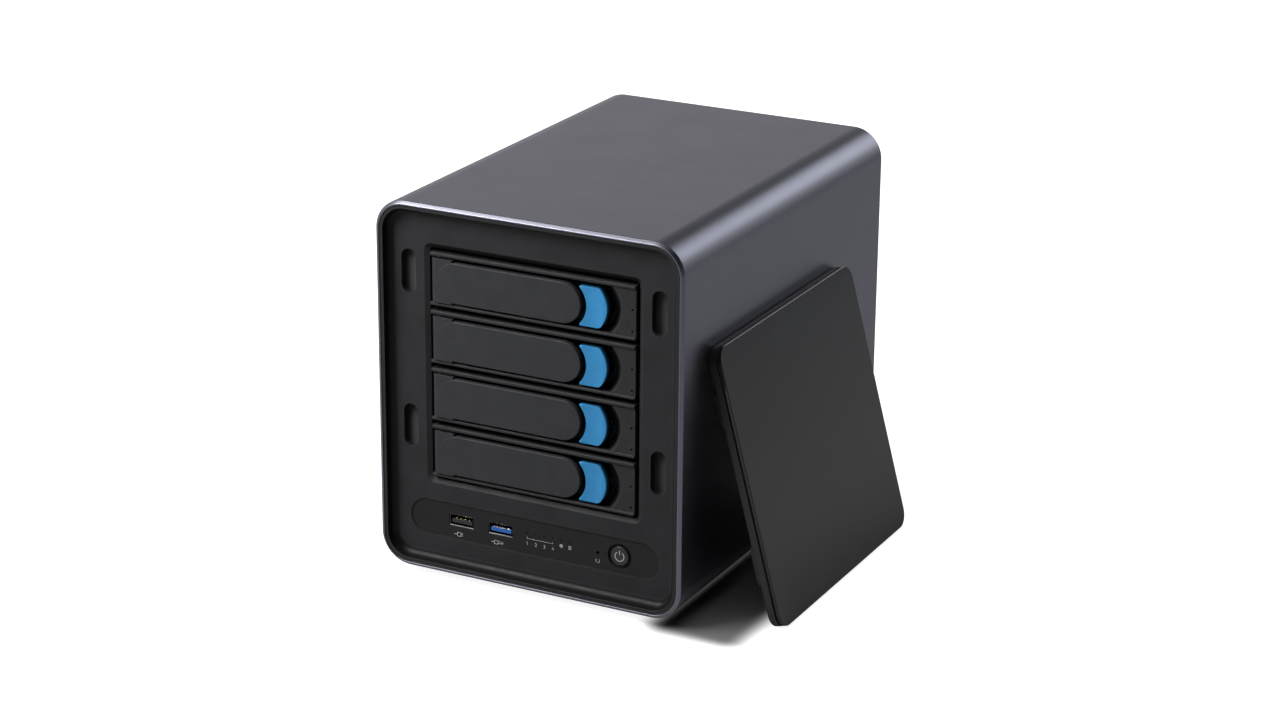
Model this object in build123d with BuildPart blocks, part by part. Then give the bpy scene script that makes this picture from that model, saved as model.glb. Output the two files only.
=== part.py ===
from build123d import *
from math import atan, cos, degrees, radians, sin
import os

# A four-bay desktop drive enclosure. Its front cover is off, and leans against the right side.
# Lengths are in millimetres. X runs to the right, Y to the back and Z up. The floor is Z = 0, and
# the origin is the middle of the floor area that the case and its leaning cover take up.
# In the sketches, across is measured from the middle of the case, rise from the underside of the
# sleeve, and deep from the sleeve's front edge towards the back.

# Sleeve
width = 163.0
depth = 226.0
height = 185.0
corner_radius = 15.5
wall = 2.0
front_edge_bevel = 1.4
back_edge_bevel = 0.6
foot_height = 4.7
foot_radius = 9.0
foot_inset = 22.0
foot_round = 0.8

# Front moulding
lip_deep = 0.4
bezel_gap = 0.25
lip_inset = 4.0
face_deep = 6.0
face_thick = 2.5
bezel_length = 21.7
recess_fillet = 4.5
lip_round = 0.3
window_width = 116.2
window_height = 121.1
window_middle = 104.05
window_bevel = 2.3
window_bevel_deep = 1.5
window_radius = 4.0
window_wall = 1.8
cover_slot_width = 8.0
cover_slot_length = 22.0
cover_slot_deep = 4.3
cover_slot_across = 66.7
cover_slot_rises = (71.0, 149.0)
slot_wall = 1.6
boss_across = 62.0
boss_rises = (48.5, 170.0)
boss_radius = 3.4
boss_hole_deep = 9.0
magnet_radius = 3.0
magnet_thick = 2.0
magnet_gap = 0.02

# Control strip
strip_length = 135.0
strip_height = 18.4
strip_rise = 25.3
strip_deep = 0.5
port_rise = 26.0
port_acrosses = (-39.6, -18.0)
port_width = 13.1
port_height = 5.8
port_skin = 0.35
port_rim_bevel = 0.3
port_gap = 0.3
tongue_width = 11.1
tongue_thick = 1.9
tongue_set_in = 0.6
tongue_raise = -0.6
port_back_thick = 2.5
lamp_pitch = 4.64
lamp_middle = 8.3
lamp_rise = 27.2
lamp_radius = 0.5
lamp_count = 6
reset_across = 34.9
reset_rise = 24.8
reset_hole_radius = 0.8
power_across = 46.6
power_rise = 25.3
power_well_radius = 6.35
power_well_deep = 1.2
power_radius = 4.8
power_travel = 1.0
power_gap = 0.25
board_deep = 18.5
board_thick = 1.6

# Trays
tray_count = 4
tray_deep = 5.0
tray_pitch = 28.95
tray_width = 109.2
tray_height = 26.4
tray_bezel_length = 14.0
channel_height = 22.9
channel_rise = -0.15
channel_deep = 0.8
pocket_deep = 6.5
rail_round = 0.6
bezel_wall = 4.5
bezel_floor = 1.5
tray_lamp_across = 52.7
tray_lamp_offsets = (1.4, -9.1)
tray_lamp_radius = 0.55
tray_lamp_deep = 3.0
lever_deep = 4.2
lever_left = -50.4
lever_right = 26.5
lever_height = 20.0
lever_rise = -0.5
lever_thick = 3.0
lever_round = 0.5
lever_skin = 1.6
lever_hollow = 26.0
lever_hollow_middle = -11.0
lever_rib = 4.0
heel_top = 10.4
heel_bottom = -11.1
heel_right = -42.4
heel_step = 0.15
pin_across = -51.0
pin_deep = 7.4
pin_radius = 1.0
pin_clearance = 0.06
knuckle_radius = 3.05
latch_deep = 4.6
latch_thick = 3.2
latch_across = 31.4
latch_right = 40.3
latch_height = 19.4
latch_side_radius = 13.0
latch_corner_round = 3.6
latch_gap = 2.7
latch_horn_round = 0.6
latch_round = 0.45
latch_dish = 0.5
latch_dish_radius = 30.0
latch_dish_across = 32.6
latch_plinth_radius = 7.4
latch_plinth_thick = 1.4
scoop_radius = 16.0
scoop_floor_radius = 10.6
stem_offset = 2.6
stem_width = 6.0
stem_height = 4.4
stem_length = 7.6
spring_radius = 1.5
spring_wire = 0.22
spring_length = 12.3
spring_deep = 15.1
drive_width = 101.6
drive_length = 147.0
drive_hole_across = 95.25
drive_hole_pitch = 44.45
drive_hole_from_rear = 41.28
drive_hole_radius = 1.8
side_hole_from_rear = 28.5
side_hole_pitch = 101.6
side_hole_rise = 6.35
drive_front_deep = 22.5
drive_side_gap = 0.4
strap_thick = 0.9
strap_length = 13.0
bar_length = 2.0
arm_thick = 2.0
arm_height = 17.2
runner_thick = 1.2
runner_height = 3.0
runner_offset = 1.0
guide_gap = 0.3

# Chassis, boards and fan
sheet = 1.2
chassis_inside = 55.0
chassis_front = bezel_length + lip_deep + 0.3
chassis_bottom = 2.1
chassis_top = 175.0
flange_width = 14.0
flange_rise = 10.0
jog_deep = 187.0
jog_width = 6.5
rear_screw_across = 68.5
rear_screw_rises = (18.0, 92.5, 167.0)
screw_radius = 1.4
screw_head_radius = 2.8
screw_head = 1.7
level_plate_length = 156.0
cage_floor_rise = 44.4
cage_roof_rise = 163.0
panel_thick = 1.5
panel_set_in = 2.5
fit_gap = 0.3
panel_deep = depth - panel_set_in - panel_thick
fan_size = 120.0
fan_thick = 25.0
fan_rise = 106.0
fan_bore = 57.0
fan_hole_offset = 52.5
fan_hole_radius = 2.2
blade_count = 7
shaft_radius = 2.0
mainboard_rise = 9.6
bezel_hole_radius = 1.45

# Front cover, off the case
cover_width = 150.4
cover_height = 138.0
cover_radius = 8.0
cover_thick = 6.3
skin_thick = 1.3
groove_height = 1.2
groove_inset = 1.0
cover_edge_round = 0.5
skin_edge_round = 0.4
cover_lean = 15.25
cover_middle_deep = 98.7
cover_side_gap = 0.3
tab_width = 7.2
tab_length = 21.0
tab_reach = 3.9

lean = radians(cover_lean)
cover_body = cover_thick - cover_edge_round
cover_foot_across = (
    width / 2
    + cover_side_gap
    + (cover_height - cover_edge_round) * sin(lean)
    + cover_body * cos(lean)
    + cover_edge_round
)
cover_foot_height = cover_edge_round * (1 - cos(lean)) + cover_body * sin(lean)

case_x = -(cover_foot_across - width / 2) / 2
front_y = -depth / 2
drive_bottom = -tray_height / 2 + strap_thick + 0.1
sled_end = drive_front_deep + drive_length


def upright(deep):
    """A plane parallel to the front: local x is across, local y is rise, and it faces the front."""
    return Plane(
        origin=(case_x, front_y + deep, foot_height), x_dir=(1, 0, 0), z_dir=(0, -1, 0)
    )


def level(rise):
    """A level plane: local x is across, local y is deep, and it faces up."""
    return Plane(
        origin=(case_x, front_y, foot_height + rise), x_dir=(1, 0, 0), z_dir=(0, 0, 1)
    )


def sideways(across):
    """A plane parallel to the right side: local x is deep, local y is rise, and it faces right."""
    return Plane(
        origin=(case_x + across, front_y, foot_height), x_dir=(0, 1, 0), z_dir=(1, 0, 0)
    )


def edges_at_depth(part, deep):
    """The edges that lie in the upright plane at this depth."""
    y = front_y + deep
    return part.edges().filter_by_position(Axis.Y, y - 0.01, y + 0.01)


def tray_middle(number):
    """The rise of a tray's middle. Tray 1 is the top one."""
    return window_middle + ((tray_count + 1) / 2 - number) * tray_pitch


pieces = {}


# Sleeve: a rounded aluminium tube with a polished bevel round its front edge
with BuildPart() as shell:
    with BuildSketch(upright(0)):
        with Locations((0, height / 2)):
            RectangleRounded(width, height, corner_radius)
            RectangleRounded(
                width - 2 * wall,
                height - 2 * wall,
                corner_radius - wall,
                mode=Mode.SUBTRACT,
            )
    extrude(amount=-depth)
    by_depth = shell.faces().filter_by(GeomType.PLANE).sort_by(Axis.Y)
    chamfer(by_depth[0].outer_wire().edges(), front_edge_bevel)
    by_depth = shell.faces().filter_by(GeomType.PLANE).sort_by(Axis.Y)
    chamfer(by_depth[-1].outer_wire().edges(), back_edge_bevel)
pieces["shell"] = shell


with BuildPart() as feet:
    with BuildSketch(level(0)):
        with Locations((0, depth / 2)):
            with GridLocations(
                width - 2 * foot_inset, depth - 2 * foot_inset, 2, 2
            ):
                Circle(foot_radius)
    extrude(amount=-foot_height)
    fillet(feet.edges().group_by(Axis.Z)[0], foot_round)
pieces["feet"] = feet


# Front moulding: a lip, a recessed face, the bay window, four cover slots and the control strip
outline_inset = wall + bezel_gap
slot_places = [
    (side * cover_slot_across, rise) for side in (-1, 1) for rise in cover_slot_rises
]
boss_places = [(side * boss_across, rise) for side in (-1, 1) for rise in boss_rises]
lamp_places = [
    (lamp_middle + (index - (lamp_count - 1) / 2) * lamp_pitch, lamp_rise)
    for index in range(lamp_count)
]
port_places = [(across, port_rise) for across in port_acrosses]
bezel_back = lip_deep + bezel_length

with BuildPart() as front_bezel:
    with BuildSketch(upright(lip_deep)):
        with Locations((0, height / 2)):
            RectangleRounded(
                width - 2 * outline_inset,
                height - 2 * outline_inset,
                corner_radius - outline_inset,
            )
    extrude(amount=-bezel_length)
    with BuildSketch(upright(lip_deep)):
        with Locations((0, height / 2)):
            RectangleRounded(
                width - 2 * lip_inset, height - 2 * lip_inset, corner_radius - lip_inset
            )
    extrude(amount=lip_deep - face_deep, mode=Mode.SUBTRACT)
    fillet(edges_at_depth(front_bezel, face_deep), recess_fillet)
    lip = front_bezel.faces().filter_by(GeomType.PLANE).sort_by(Axis.Y)[0]
    fillet(lip.edges(), lip_round)
    with BuildSketch(upright(bezel_back)):
        with Locations((0, height / 2)):
            RectangleRounded(
                width - 2 * lip_inset, height - 2 * lip_inset, corner_radius - lip_inset
            )
        with Locations((0, window_middle)):
            Rectangle(
                window_width - 2 * window_bevel + 2 * window_wall,
                window_height - 2 * window_bevel + 2 * window_wall,
                mode=Mode.SUBTRACT,
            )
        with Locations(*boss_places):
            Circle(boss_radius, mode=Mode.SUBTRACT)
    extrude(amount=bezel_back - face_deep - face_thick, mode=Mode.SUBTRACT)
    with BuildSketch(upright(face_deep + face_thick)):
        with Locations(*slot_places):
            SlotOverall(
                cover_slot_length + 2 * slot_wall,
                cover_slot_width + 2 * slot_wall,
                rotation=90,
            )
    extrude(amount=-(cover_slot_deep - face_thick + slot_wall))
    with BuildSketch(upright(face_deep)):
        with Locations(*slot_places):
            SlotOverall(cover_slot_length, cover_slot_width, rotation=90)
    extrude(amount=-cover_slot_deep, mode=Mode.SUBTRACT)
    with BuildSketch(upright(bezel_back)):
        with Locations((0, window_middle)):
            RectangleRounded(
                window_width - 2 * window_bevel,
                window_height - 2 * window_bevel,
                window_radius - 2,
            )
    extrude(amount=bezel_length, mode=Mode.SUBTRACT)
    with BuildSketch(upright(face_deep)):
        with Locations((0, window_middle)):
            RectangleRounded(window_width, window_height, window_radius)
    extrude(
        amount=-window_bevel_deep,
        taper=degrees(atan(window_bevel / window_bevel_deep)),
        mode=Mode.SUBTRACT,
    )
    with BuildSketch(upright(face_deep)):
        with Locations((0, strip_rise)):
            SlotOverall(strip_length, strip_height)
    extrude(amount=-strip_deep, mode=Mode.SUBTRACT)
    with BuildSketch(upright(face_deep)):
        with Locations((power_across, power_rise)):
            Circle(power_well_radius)
    extrude(amount=-strip_deep - power_well_deep, mode=Mode.SUBTRACT)
    with BuildSketch(upright(face_deep)):
        with Locations(*port_places):
            Rectangle(port_width + 2 * port_gap, port_height + 2 * port_gap)
        with Locations(*lamp_places):
            Circle(lamp_radius + 0.1)
        with Locations((reset_across, reset_rise)):
            Circle(reset_hole_radius)
        with Locations((power_across, power_rise)):
            Circle(power_radius + power_gap)
    extrude(amount=-face_thick - 1, mode=Mode.SUBTRACT)
    with BuildSketch(upright(bezel_back)):
        with Locations(*boss_places):
            Circle(bezel_hole_radius)
    extrude(amount=boss_hole_deep, mode=Mode.SUBTRACT)
pieces["front_bezel"] = front_bezel


slot_floor_back = face_deep + cover_slot_deep + slot_wall
with BuildPart() as slot_magnets:
    with BuildSketch(upright(slot_floor_back)):
        with Locations(*slot_places):
            Circle(magnet_radius)
    extrude(amount=-magnet_thick)
pieces["slot_magnets"] = slot_magnets


# Front ports, lamps, switches and the small board that carries them
port_front = face_deep + strip_deep + 0.1
port_length_fitted = board_deep - port_front

with BuildPart() as front_port_shells:
    with BuildSketch(upright(port_front)):
        with Locations(*port_places):
            Rectangle(port_width, port_height)
            Rectangle(
                port_width - 2 * port_skin,
                port_height - 2 * port_skin,
                mode=Mode.SUBTRACT,
            )
    extrude(amount=-port_length_fitted)
    mouths = front_port_shells.faces().filter_by(Plane.XZ).group_by(Axis.Y)[0]
    chamfer([edge for mouth in mouths for edge in mouth.inner_wires().edges()], port_rim_bevel)
pieces["front_port_shells"] = front_port_shells


def make_port_tongue(across):
    """The insulating tongue inside a port, with the block that closes the port's back."""
    with BuildPart() as tongue:
        with BuildSketch(upright(port_front + tongue_set_in)):
            with Locations((across, port_rise + tongue_raise)):
                Rectangle(tongue_width, tongue_thick)
        extrude(amount=tongue_set_in - port_length_fitted)
        with BuildSketch(upright(board_deep)):
            with Locations((across, port_rise)):
                Rectangle(port_width - 2 * port_skin, port_height - 2 * port_skin)
        extrude(amount=port_back_thick)
    return tongue


pieces["front_port_tongue_left"] = make_port_tongue(port_acrosses[0])
pieces["front_port_tongue_right"] = make_port_tongue(port_acrosses[1])

front_board_across = 2.0
front_board_size = (106.0, 25.0)
with BuildPart() as front_port_board:
    with BuildSketch(upright(board_deep)):
        with Locations((front_board_across, strip_rise)):
            Rectangle(*front_board_size)
    extrude(amount=-board_thick)
pieces["front_port_board"] = front_port_board

pipe_front = face_deep + strip_deep + 0.2
pipe_bar_deep = 13.0
pipe_bar = 1.6
with BuildPart() as light_pipes:
    with BuildSketch(upright(pipe_front)):
        with Locations(*lamp_places):
            Circle(lamp_radius)
    extrude(amount=pipe_front - board_deep)
    with BuildSketch(upright(pipe_bar_deep)):
        with Locations((lamp_middle, lamp_rise)):
            Rectangle(lamp_count * lamp_pitch, 1.5 * pipe_bar)
    extrude(amount=-pipe_bar)
pieces["light_pipes"] = light_pipes

button_front = face_deep + strip_deep - 0.2
button_flange_deep = face_deep + face_thick + 0.3
switch_deep = 15.0
switch_size = 6.0
switch_cap_radius = 1.6
switch_cap = 1.0
switch_places = ((power_across, power_rise), (reset_across, reset_rise))
stem_gap = 0.2

with BuildPart() as panel_switches:
    with BuildSketch(upright(board_deep)):
        with Locations(*switch_places):
            Rectangle(switch_size, switch_size)
    extrude(amount=board_deep - switch_deep)
    with BuildSketch(upright(switch_deep)):
        with Locations(*switch_places):
            Circle(switch_cap_radius)
    extrude(amount=switch_cap)
pieces["panel_switches"] = panel_switches

button_round = 0.5
button_flange = 1.0
button_stem_radius = 2.0
button_stem_deep = switch_deep - switch_cap - power_travel - stem_gap
with BuildPart() as power_button:
    with BuildSketch(upright(button_front)):
        with Locations((power_across, power_rise)):
            Circle(power_radius)
    extrude(amount=-(button_flange_deep - button_front))
    fillet(edges_at_depth(power_button, button_front), button_round)
    with BuildSketch(upright(button_flange_deep)):
        with Locations((power_across, power_rise)):
            Circle(power_radius + button_flange)
    extrude(amount=-button_flange)
    with BuildSketch(upright(button_flange_deep + button_flange)):
        with Locations((power_across, power_rise)):
            Circle(button_stem_radius)
    extrude(amount=button_flange_deep + button_flange - button_stem_deep)
pieces["power_button"] = power_button


# Trays: each has a front moulding with two rails, a lever on a pin, a latch and an open sled
def make_tray_bezel(middle):
    """The tray's front moulding: two rails with a channel between them, cut for lever and latch."""
    channel_middle = middle + channel_rise
    scoop_deep = pocket_deep - channel_deep
    with BuildPart() as scoop:
        with BuildSketch(upright(tray_deep + channel_deep)):
            with Locations((latch_across, middle + lever_rise)):
                Circle(scoop_radius)
        extrude(
            amount=-scoop_deep,
            taper=degrees(atan((scoop_radius - scoop_floor_radius) / scoop_deep)),
        )
        with BuildSketch(upright(tray_deep + channel_deep)):
            with Locations((latch_across, channel_middle)):
                Rectangle(2 * scoop_radius, channel_height)
        extrude(amount=-scoop_deep, mode=Mode.INTERSECT)
    with BuildPart() as bezel:
        with BuildSketch(upright(tray_deep)):
            with Locations((0, middle)):
                Rectangle(tray_width, tray_height)
        extrude(amount=-tray_bezel_length)
        with BuildSketch(upright(tray_deep)):
            with Locations((0, channel_middle)):
                Rectangle(tray_width + 2, channel_height)
        extrude(amount=-channel_deep, mode=Mode.SUBTRACT)
        fillet(edges_at_depth(bezel, tray_deep), rail_round)
        with BuildSketch(upright(tray_deep + channel_deep)):
            with Locations((latch_across, channel_middle)):
                Rectangle(
                    latch_across + tray_width / 2 + 1,
                    channel_height,
                    align=(Align.MAX, Align.CENTER),
                )
        extrude(amount=-scoop_deep, mode=Mode.SUBTRACT)
        add(scoop.part, mode=Mode.SUBTRACT)
        with BuildSketch(upright(tray_deep + tray_bezel_length)):
            with Locations((0, middle)):
                Rectangle(tray_width - 2 * bezel_wall, tray_height - bezel_wall - 0.5)
        extrude(amount=tray_bezel_length - pocket_deep - bezel_floor, mode=Mode.SUBTRACT)
        with BuildSketch(upright(tray_deep + tray_bezel_length)):
            with Locations((latch_across + stem_offset + bezel_floor, middle + lever_rise)):
                Rectangle(stem_width + 4.0, stem_height + 2 * fit_gap)
        extrude(amount=tray_bezel_length - pocket_deep + 0.5, mode=Mode.SUBTRACT)
        with BuildSketch(upright(tray_deep)):
            with Locations(*[(tray_lamp_across, middle + offset) for offset in tray_lamp_offsets]):
                Circle(tray_lamp_radius)
        extrude(amount=-tray_lamp_deep, mode=Mode.SUBTRACT)
        with BuildSketch(level(middle - tray_height / 2)):
            with Locations((pin_across, pin_deep)):
                Circle(pin_radius)
        extrude(amount=tray_height, mode=Mode.SUBTRACT)
    return bezel


def make_lever(middle):
    """The pull lever: a long rounded bar whose square heel wraps round the hinge pin."""
    heel_height = heel_top - heel_bottom
    with BuildPart() as lever:
        with BuildSketch(upright(lever_deep)):
            with Locations(((lever_left + lever_right) / 2, middle + lever_rise)):
                SlotOverall(lever_right - lever_left, lever_height)
        extrude(amount=-lever_thick)
        fillet(edges_at_depth(lever, lever_deep), lever_round)
        with BuildSketch(upright(lever_deep + heel_step)):
            with Locations((pin_across, middle + heel_bottom)):
                Rectangle(
                    heel_right - pin_across,
                    heel_height,
                    align=(Align.MIN, Align.MIN),
                )
        extrude(amount=-(lever_thick - heel_step))
        with BuildSketch(level(middle + heel_bottom)):
            with Locations((pin_across, pin_deep)):
                Circle(knuckle_radius)
        extrude(amount=heel_height)
        with BuildSketch(level(middle + heel_bottom)):
            with Locations((pin_across, pin_deep)):
                Circle(pin_radius + pin_clearance)
        extrude(amount=heel_height, mode=Mode.SUBTRACT)
        with BuildSketch(upright(lever_deep + lever_thick)):
            with Locations((lever_hollow_middle, middle + lever_rise)):
                with GridLocations(lever_hollow + lever_rib, 1, 2, 1):
                    RectangleRounded(lever_hollow, lever_height - 5.0, 3.0)
        extrude(amount=lever_thick - lever_skin, mode=Mode.SUBTRACT)
    return lever


def make_hinge_pin(middle):
    """The steel pin through both rails and the lever's heel."""
    pin_length = tray_height - 0.6
    with BuildPart() as pin:
        with BuildSketch(level(middle - pin_length / 2)):
            with Locations((pin_across, pin_deep)):
                Circle(pin_radius)
        extrude(amount=pin_length)
    return pin


def make_latch(middle):
    """The crescent latch beside the lever's round end, on a plinth and a stem that its spring pushes."""
    lever_end = lever_right - lever_height / 2
    centre = middle + lever_rise
    with BuildPart() as latch:
        with BuildSketch(upright(latch_deep)) as outline:
            with Locations((latch_right, centre)):
                Rectangle(
                    latch_right - lever_end,
                    latch_height,
                    align=(Align.MAX, Align.CENTER),
                )
            with Locations((latch_right - latch_side_radius, centre)):
                Circle(latch_side_radius, mode=Mode.INTERSECT)
            with Locations((lever_end, centre)):
                Circle(lever_height / 2 + latch_gap, mode=Mode.SUBTRACT)
            corners = outline.vertices().sort_by(Axis.X)
            fillet(corners[-2:], latch_corner_round)
            fillet(outline.vertices().sort_by(Axis.X)[:2], latch_horn_round)
        extrude(amount=-latch_thick)
        fillet(edges_at_depth(latch, latch_deep), latch_round)
        with BuildSketch(level(middle - lever_height)):
            with Locations((latch_dish_across, latch_deep + latch_dish - latch_dish_radius)):
                Circle(latch_dish_radius)
        extrude(amount=2 * lever_height, mode=Mode.SUBTRACT)
        with BuildSketch(upright(latch_deep + latch_thick)):
            with Locations((latch_across, centre)):
                Circle(latch_plinth_radius)
            with Locations((lever_end, centre)):
                Circle(lever_height / 2 + latch_gap, mode=Mode.SUBTRACT)
        extrude(amount=-latch_plinth_thick)
        with BuildSketch(upright(latch_deep + latch_thick + latch_plinth_thick)):
            with Locations((latch_across + stem_offset, centre)):
                Rectangle(stem_width, stem_height)
        extrude(amount=-stem_length)
    return latch


def make_latch_spring(middle):
    """The coil spring that pushes the latch's stem towards the lever."""
    start = case_x + latch_across + stem_offset + stem_width / 2 + 0.35
    with BuildPart() as spring:
        with BuildLine() as coil:
            Helix(
                pitch=spring_radius,
                height=spring_length,
                radius=spring_radius,
                center=(start, front_y + spring_deep, foot_height + middle + lever_rise),
                direction=(1, 0, 0),
            )
        with BuildSketch(Plane(origin=coil.line @ 0, z_dir=coil.line % 0)):
            Circle(spring_wire)
        sweep()
    return spring


def make_sled(middle):
    """The open frame behind the tray's front: two arms with runners, straps and drive holes."""
    arm_inside = drive_width / 2 + drive_side_gap
    bottom = middle - tray_height / 2
    sled_front = tray_deep + tray_bezel_length
    sled_length = sled_end - sled_front
    first_hole = sled_end - drive_hole_from_rear
    strap_deeps = (first_hole, first_hole - drive_hole_pitch)
    side_hole = sled_end - side_hole_from_rear
    side_rise = middle + drive_bottom + side_hole_rise
    side_holes = [(side_hole, side_rise), (side_hole - side_hole_pitch, side_rise)]
    with BuildPart() as sled:
        with BuildSketch(upright(sled_front)):
            for side in (-1, 1):
                with Locations((side * (arm_inside + arm_thick / 2), bottom)):
                    Rectangle(arm_thick, arm_height, align=(Align.CENTER, Align.MIN))
                runner_across = arm_inside + arm_thick + runner_thick / 2
                with Locations((side * runner_across, middle + runner_offset)):
                    Rectangle(runner_thick, runner_height)
        extrude(amount=-sled_length)
        with BuildSketch(level(bottom)):
            with Locations(*[(0, deep) for deep in strap_deeps]):
                Rectangle(2 * arm_inside, strap_length)
            with Locations((0, sled_front + bar_length / 2), (0, sled_end - 3 * bar_length)):
                Rectangle(2 * arm_inside, bar_length)
            with Locations((0, sum(strap_deeps) / 2)):
                with GridLocations(drive_hole_across, drive_hole_pitch, 2, 2):
                    Circle(drive_hole_radius, mode=Mode.SUBTRACT)
        extrude(amount=strap_thick)
        for side in (-1, 1):
            with BuildSketch(sideways(side * arm_inside)):
                with Locations(*side_holes):
                    Circle(drive_hole_radius)
            extrude(amount=side * (arm_thick + 0.1), mode=Mode.SUBTRACT)
    return sled


for number in range(1, tray_count + 1):
    here = tray_middle(number)
    pieces[f"tray_{number}_bezel"] = make_tray_bezel(here)
    pieces[f"tray_{number}_sled"] = make_sled(here)
    pieces[f"tray_{number}_hinge_pin"] = make_hinge_pin(here)
    pieces[f"tray_{number}_lever"] = make_lever(here)
    pieces[f"tray_{number}_latch"] = make_latch(here)
    pieces[f"tray_{number}_latch_spring"] = make_latch_spring(here)


# Chassis: two bent side plates, three level plates between them, and nylon tray guides
chassis_length = panel_deep - chassis_front
rear_screw_places = [
    (side * rear_screw_across, rise) for side in (-1, 1) for rise in rear_screw_rises
]


side_vent_middle = 100.0
side_vent_length = 16.0
side_vent_height = 7.0


def make_chassis_plate(side):
    """One bent side plate, with a flange for the front moulding and one for the rear panel."""
    with BuildPart() as plate:
        with BuildSketch(level(chassis_bottom)):
            with Locations((side * (chassis_inside + sheet / 2), chassis_front)):
                Rectangle(
                    sheet, jog_deep - chassis_front, align=(Align.CENTER, Align.MIN)
                )
            with Locations((side * (chassis_inside + jog_width / 2), jog_deep)):
                Rectangle(jog_width, sheet, align=(Align.CENTER, Align.MAX))
            outer_web = side * (chassis_inside + jog_width - sheet / 2)
            with Locations((outer_web, jog_deep - sheet)):
                Rectangle(
                    sheet,
                    panel_deep - jog_deep + sheet,
                    align=(Align.CENTER, Align.MIN),
                )
        extrude(amount=chassis_top - chassis_bottom)
        with BuildSketch(level(flange_rise)):
            front_flange = side * (chassis_inside + flange_width / 2)
            with Locations((front_flange, chassis_front)):
                Rectangle(flange_width, sheet, align=(Align.CENTER, Align.MIN))
            rear_flange = front_flange + side * (jog_width - sheet)
            with Locations((rear_flange, panel_deep)):
                Rectangle(flange_width, sheet, align=(Align.CENTER, Align.MAX))
        extrude(amount=chassis_top - flange_rise)
        with BuildSketch(upright(chassis_front)):
            with Locations(*[p for p in boss_places if p[0] * side > 0]):
                Circle(screw_radius + 0.2)
        extrude(amount=-sheet, mode=Mode.SUBTRACT)
        with BuildSketch(upright(panel_deep)):
            with Locations(*[p for p in rear_screw_places if p[0] * side > 0]):
                Circle(bezel_hole_radius)
        extrude(amount=sheet, mode=Mode.SUBTRACT)
        with BuildSketch(sideways(side * chassis_inside)):
            with Locations((side_vent_middle, window_middle)):
                with GridLocations(1.5 * side_vent_length, tray_pitch, 5, tray_count):
                    SlotOverall(side_vent_length, side_vent_height)
        extrude(amount=side * sheet, mode=Mode.SUBTRACT)
    return plate


pieces["chassis_left_plate"] = make_chassis_plate(-1)
pieces["chassis_right_plate"] = make_chassis_plate(1)

level_plates = {
    "chassis_base_plate": (chassis_bottom, chassis_length - 2.0),
    "cage_floor_plate": (cage_floor_rise, level_plate_length),
    "cage_roof_plate": (cage_roof_rise, level_plate_length),
}
level_slot_length = 20.0
level_slot_width = 6.0
for name, (rise, length) in level_plates.items():
    with BuildPart() as plate:
        with BuildSketch(level(rise)):
            with Locations((0, chassis_front + 1.0)):
                Rectangle(
                    2 * chassis_inside, length, align=(Align.CENTER, Align.MIN)
                )
            with Locations((0, chassis_front + 1.0 + length / 2)):
                with GridLocations(1.5 * level_slot_length, 2 * level_slot_length, 3, 3):
                    SlotOverall(level_slot_length, level_slot_width, mode=Mode.SUBTRACT)
        extrude(amount=sheet)
    pieces[name] = plate

guide_thick = 1.2
guide_height = 2.0
guide_length = 144.0
guide_offset = runner_height / 2 + guide_gap + guide_height / 2
with BuildPart() as tray_guides:
    with BuildSketch(upright(chassis_front + 2.0)):
        for number in range(1, tray_count + 1):
            with Locations((0, tray_middle(number) + runner_offset)):
                with GridLocations(
                    2 * chassis_inside - guide_thick, 2 * guide_offset, 2, 2
                ):
                    Rectangle(guide_thick, guide_height)
    extrude(amount=-guide_length)
pieces["tray_guides"] = tray_guides

bezel_screw_length = 8.0
with BuildPart() as bezel_screws:
    with BuildSketch(upright(chassis_front + sheet)):
        with Locations(*boss_places):
            Circle(screw_head_radius)
    extrude(amount=-screw_head)
    with BuildSketch(upright(chassis_front + sheet)):
        with Locations(*boss_places):
            Circle(screw_radius)
    extrude(amount=bezel_screw_length)
pieces["bezel_screws"] = bezel_screws

backplane_deep = 181.0
backplane_height = 116.0
backplane_slot = (26.0, 8.0)
connector_size = (43.0, 6.0)
connector_length = 9.0
socket_size = (14.0, 2.2)
socket_acrosses = (-12.0, 10.0)
socket_deep = 5.0
with BuildPart() as backplane:
    with BuildSketch(upright(backplane_deep)):
        with Locations((0, window_middle)):
            Rectangle(2 * chassis_inside, backplane_height)
            with GridLocations(backplane_slot[0] + 8.0, tray_pitch, 3, tray_count):
                SlotOverall(*backplane_slot, mode=Mode.SUBTRACT)
    extrude(amount=-board_thick)
pieces["backplane"] = backplane

connector_rise = drive_bottom + 3.5
with BuildPart() as drive_connectors:
    for number in range(1, tray_count + 1):
        here = tray_middle(number) + connector_rise
        with BuildSketch(upright(backplane_deep)):
            with Locations((0, here)):
                Rectangle(*connector_size)
        extrude(amount=connector_length)
        with BuildSketch(upright(backplane_deep - connector_length)):
            with Locations(*[(across, here) for across in socket_acrosses]):
                Rectangle(*socket_size)
        extrude(amount=-socket_deep, mode=Mode.SUBTRACT)
pieces["drive_connectors"] = drive_connectors

riser_across = -30.0
riser_size = (12.0, 40.0)
with BuildPart() as riser_board:
    with BuildSketch(sideways(riser_across)):
        with Locations((backplane_deep + board_thick, mainboard_rise + board_thick)):
            Rectangle(*riser_size, align=(Align.MIN, Align.MIN))
    extrude(amount=board_thick)
pieces["riser_board"] = riser_board


# Mainboard with its cooler, memory and rear ports
mainboard_width = 106.0
board_front = 58.0
board_back = panel_deep - 1.0
board_top = mainboard_rise + board_thick
standoff_places = [(across, deep) for across in (-47.0, 47.0) for deep in (64.0, 192.0)]
standoff_radius = 3.0
standoff_screw_radius = 1.5

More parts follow.
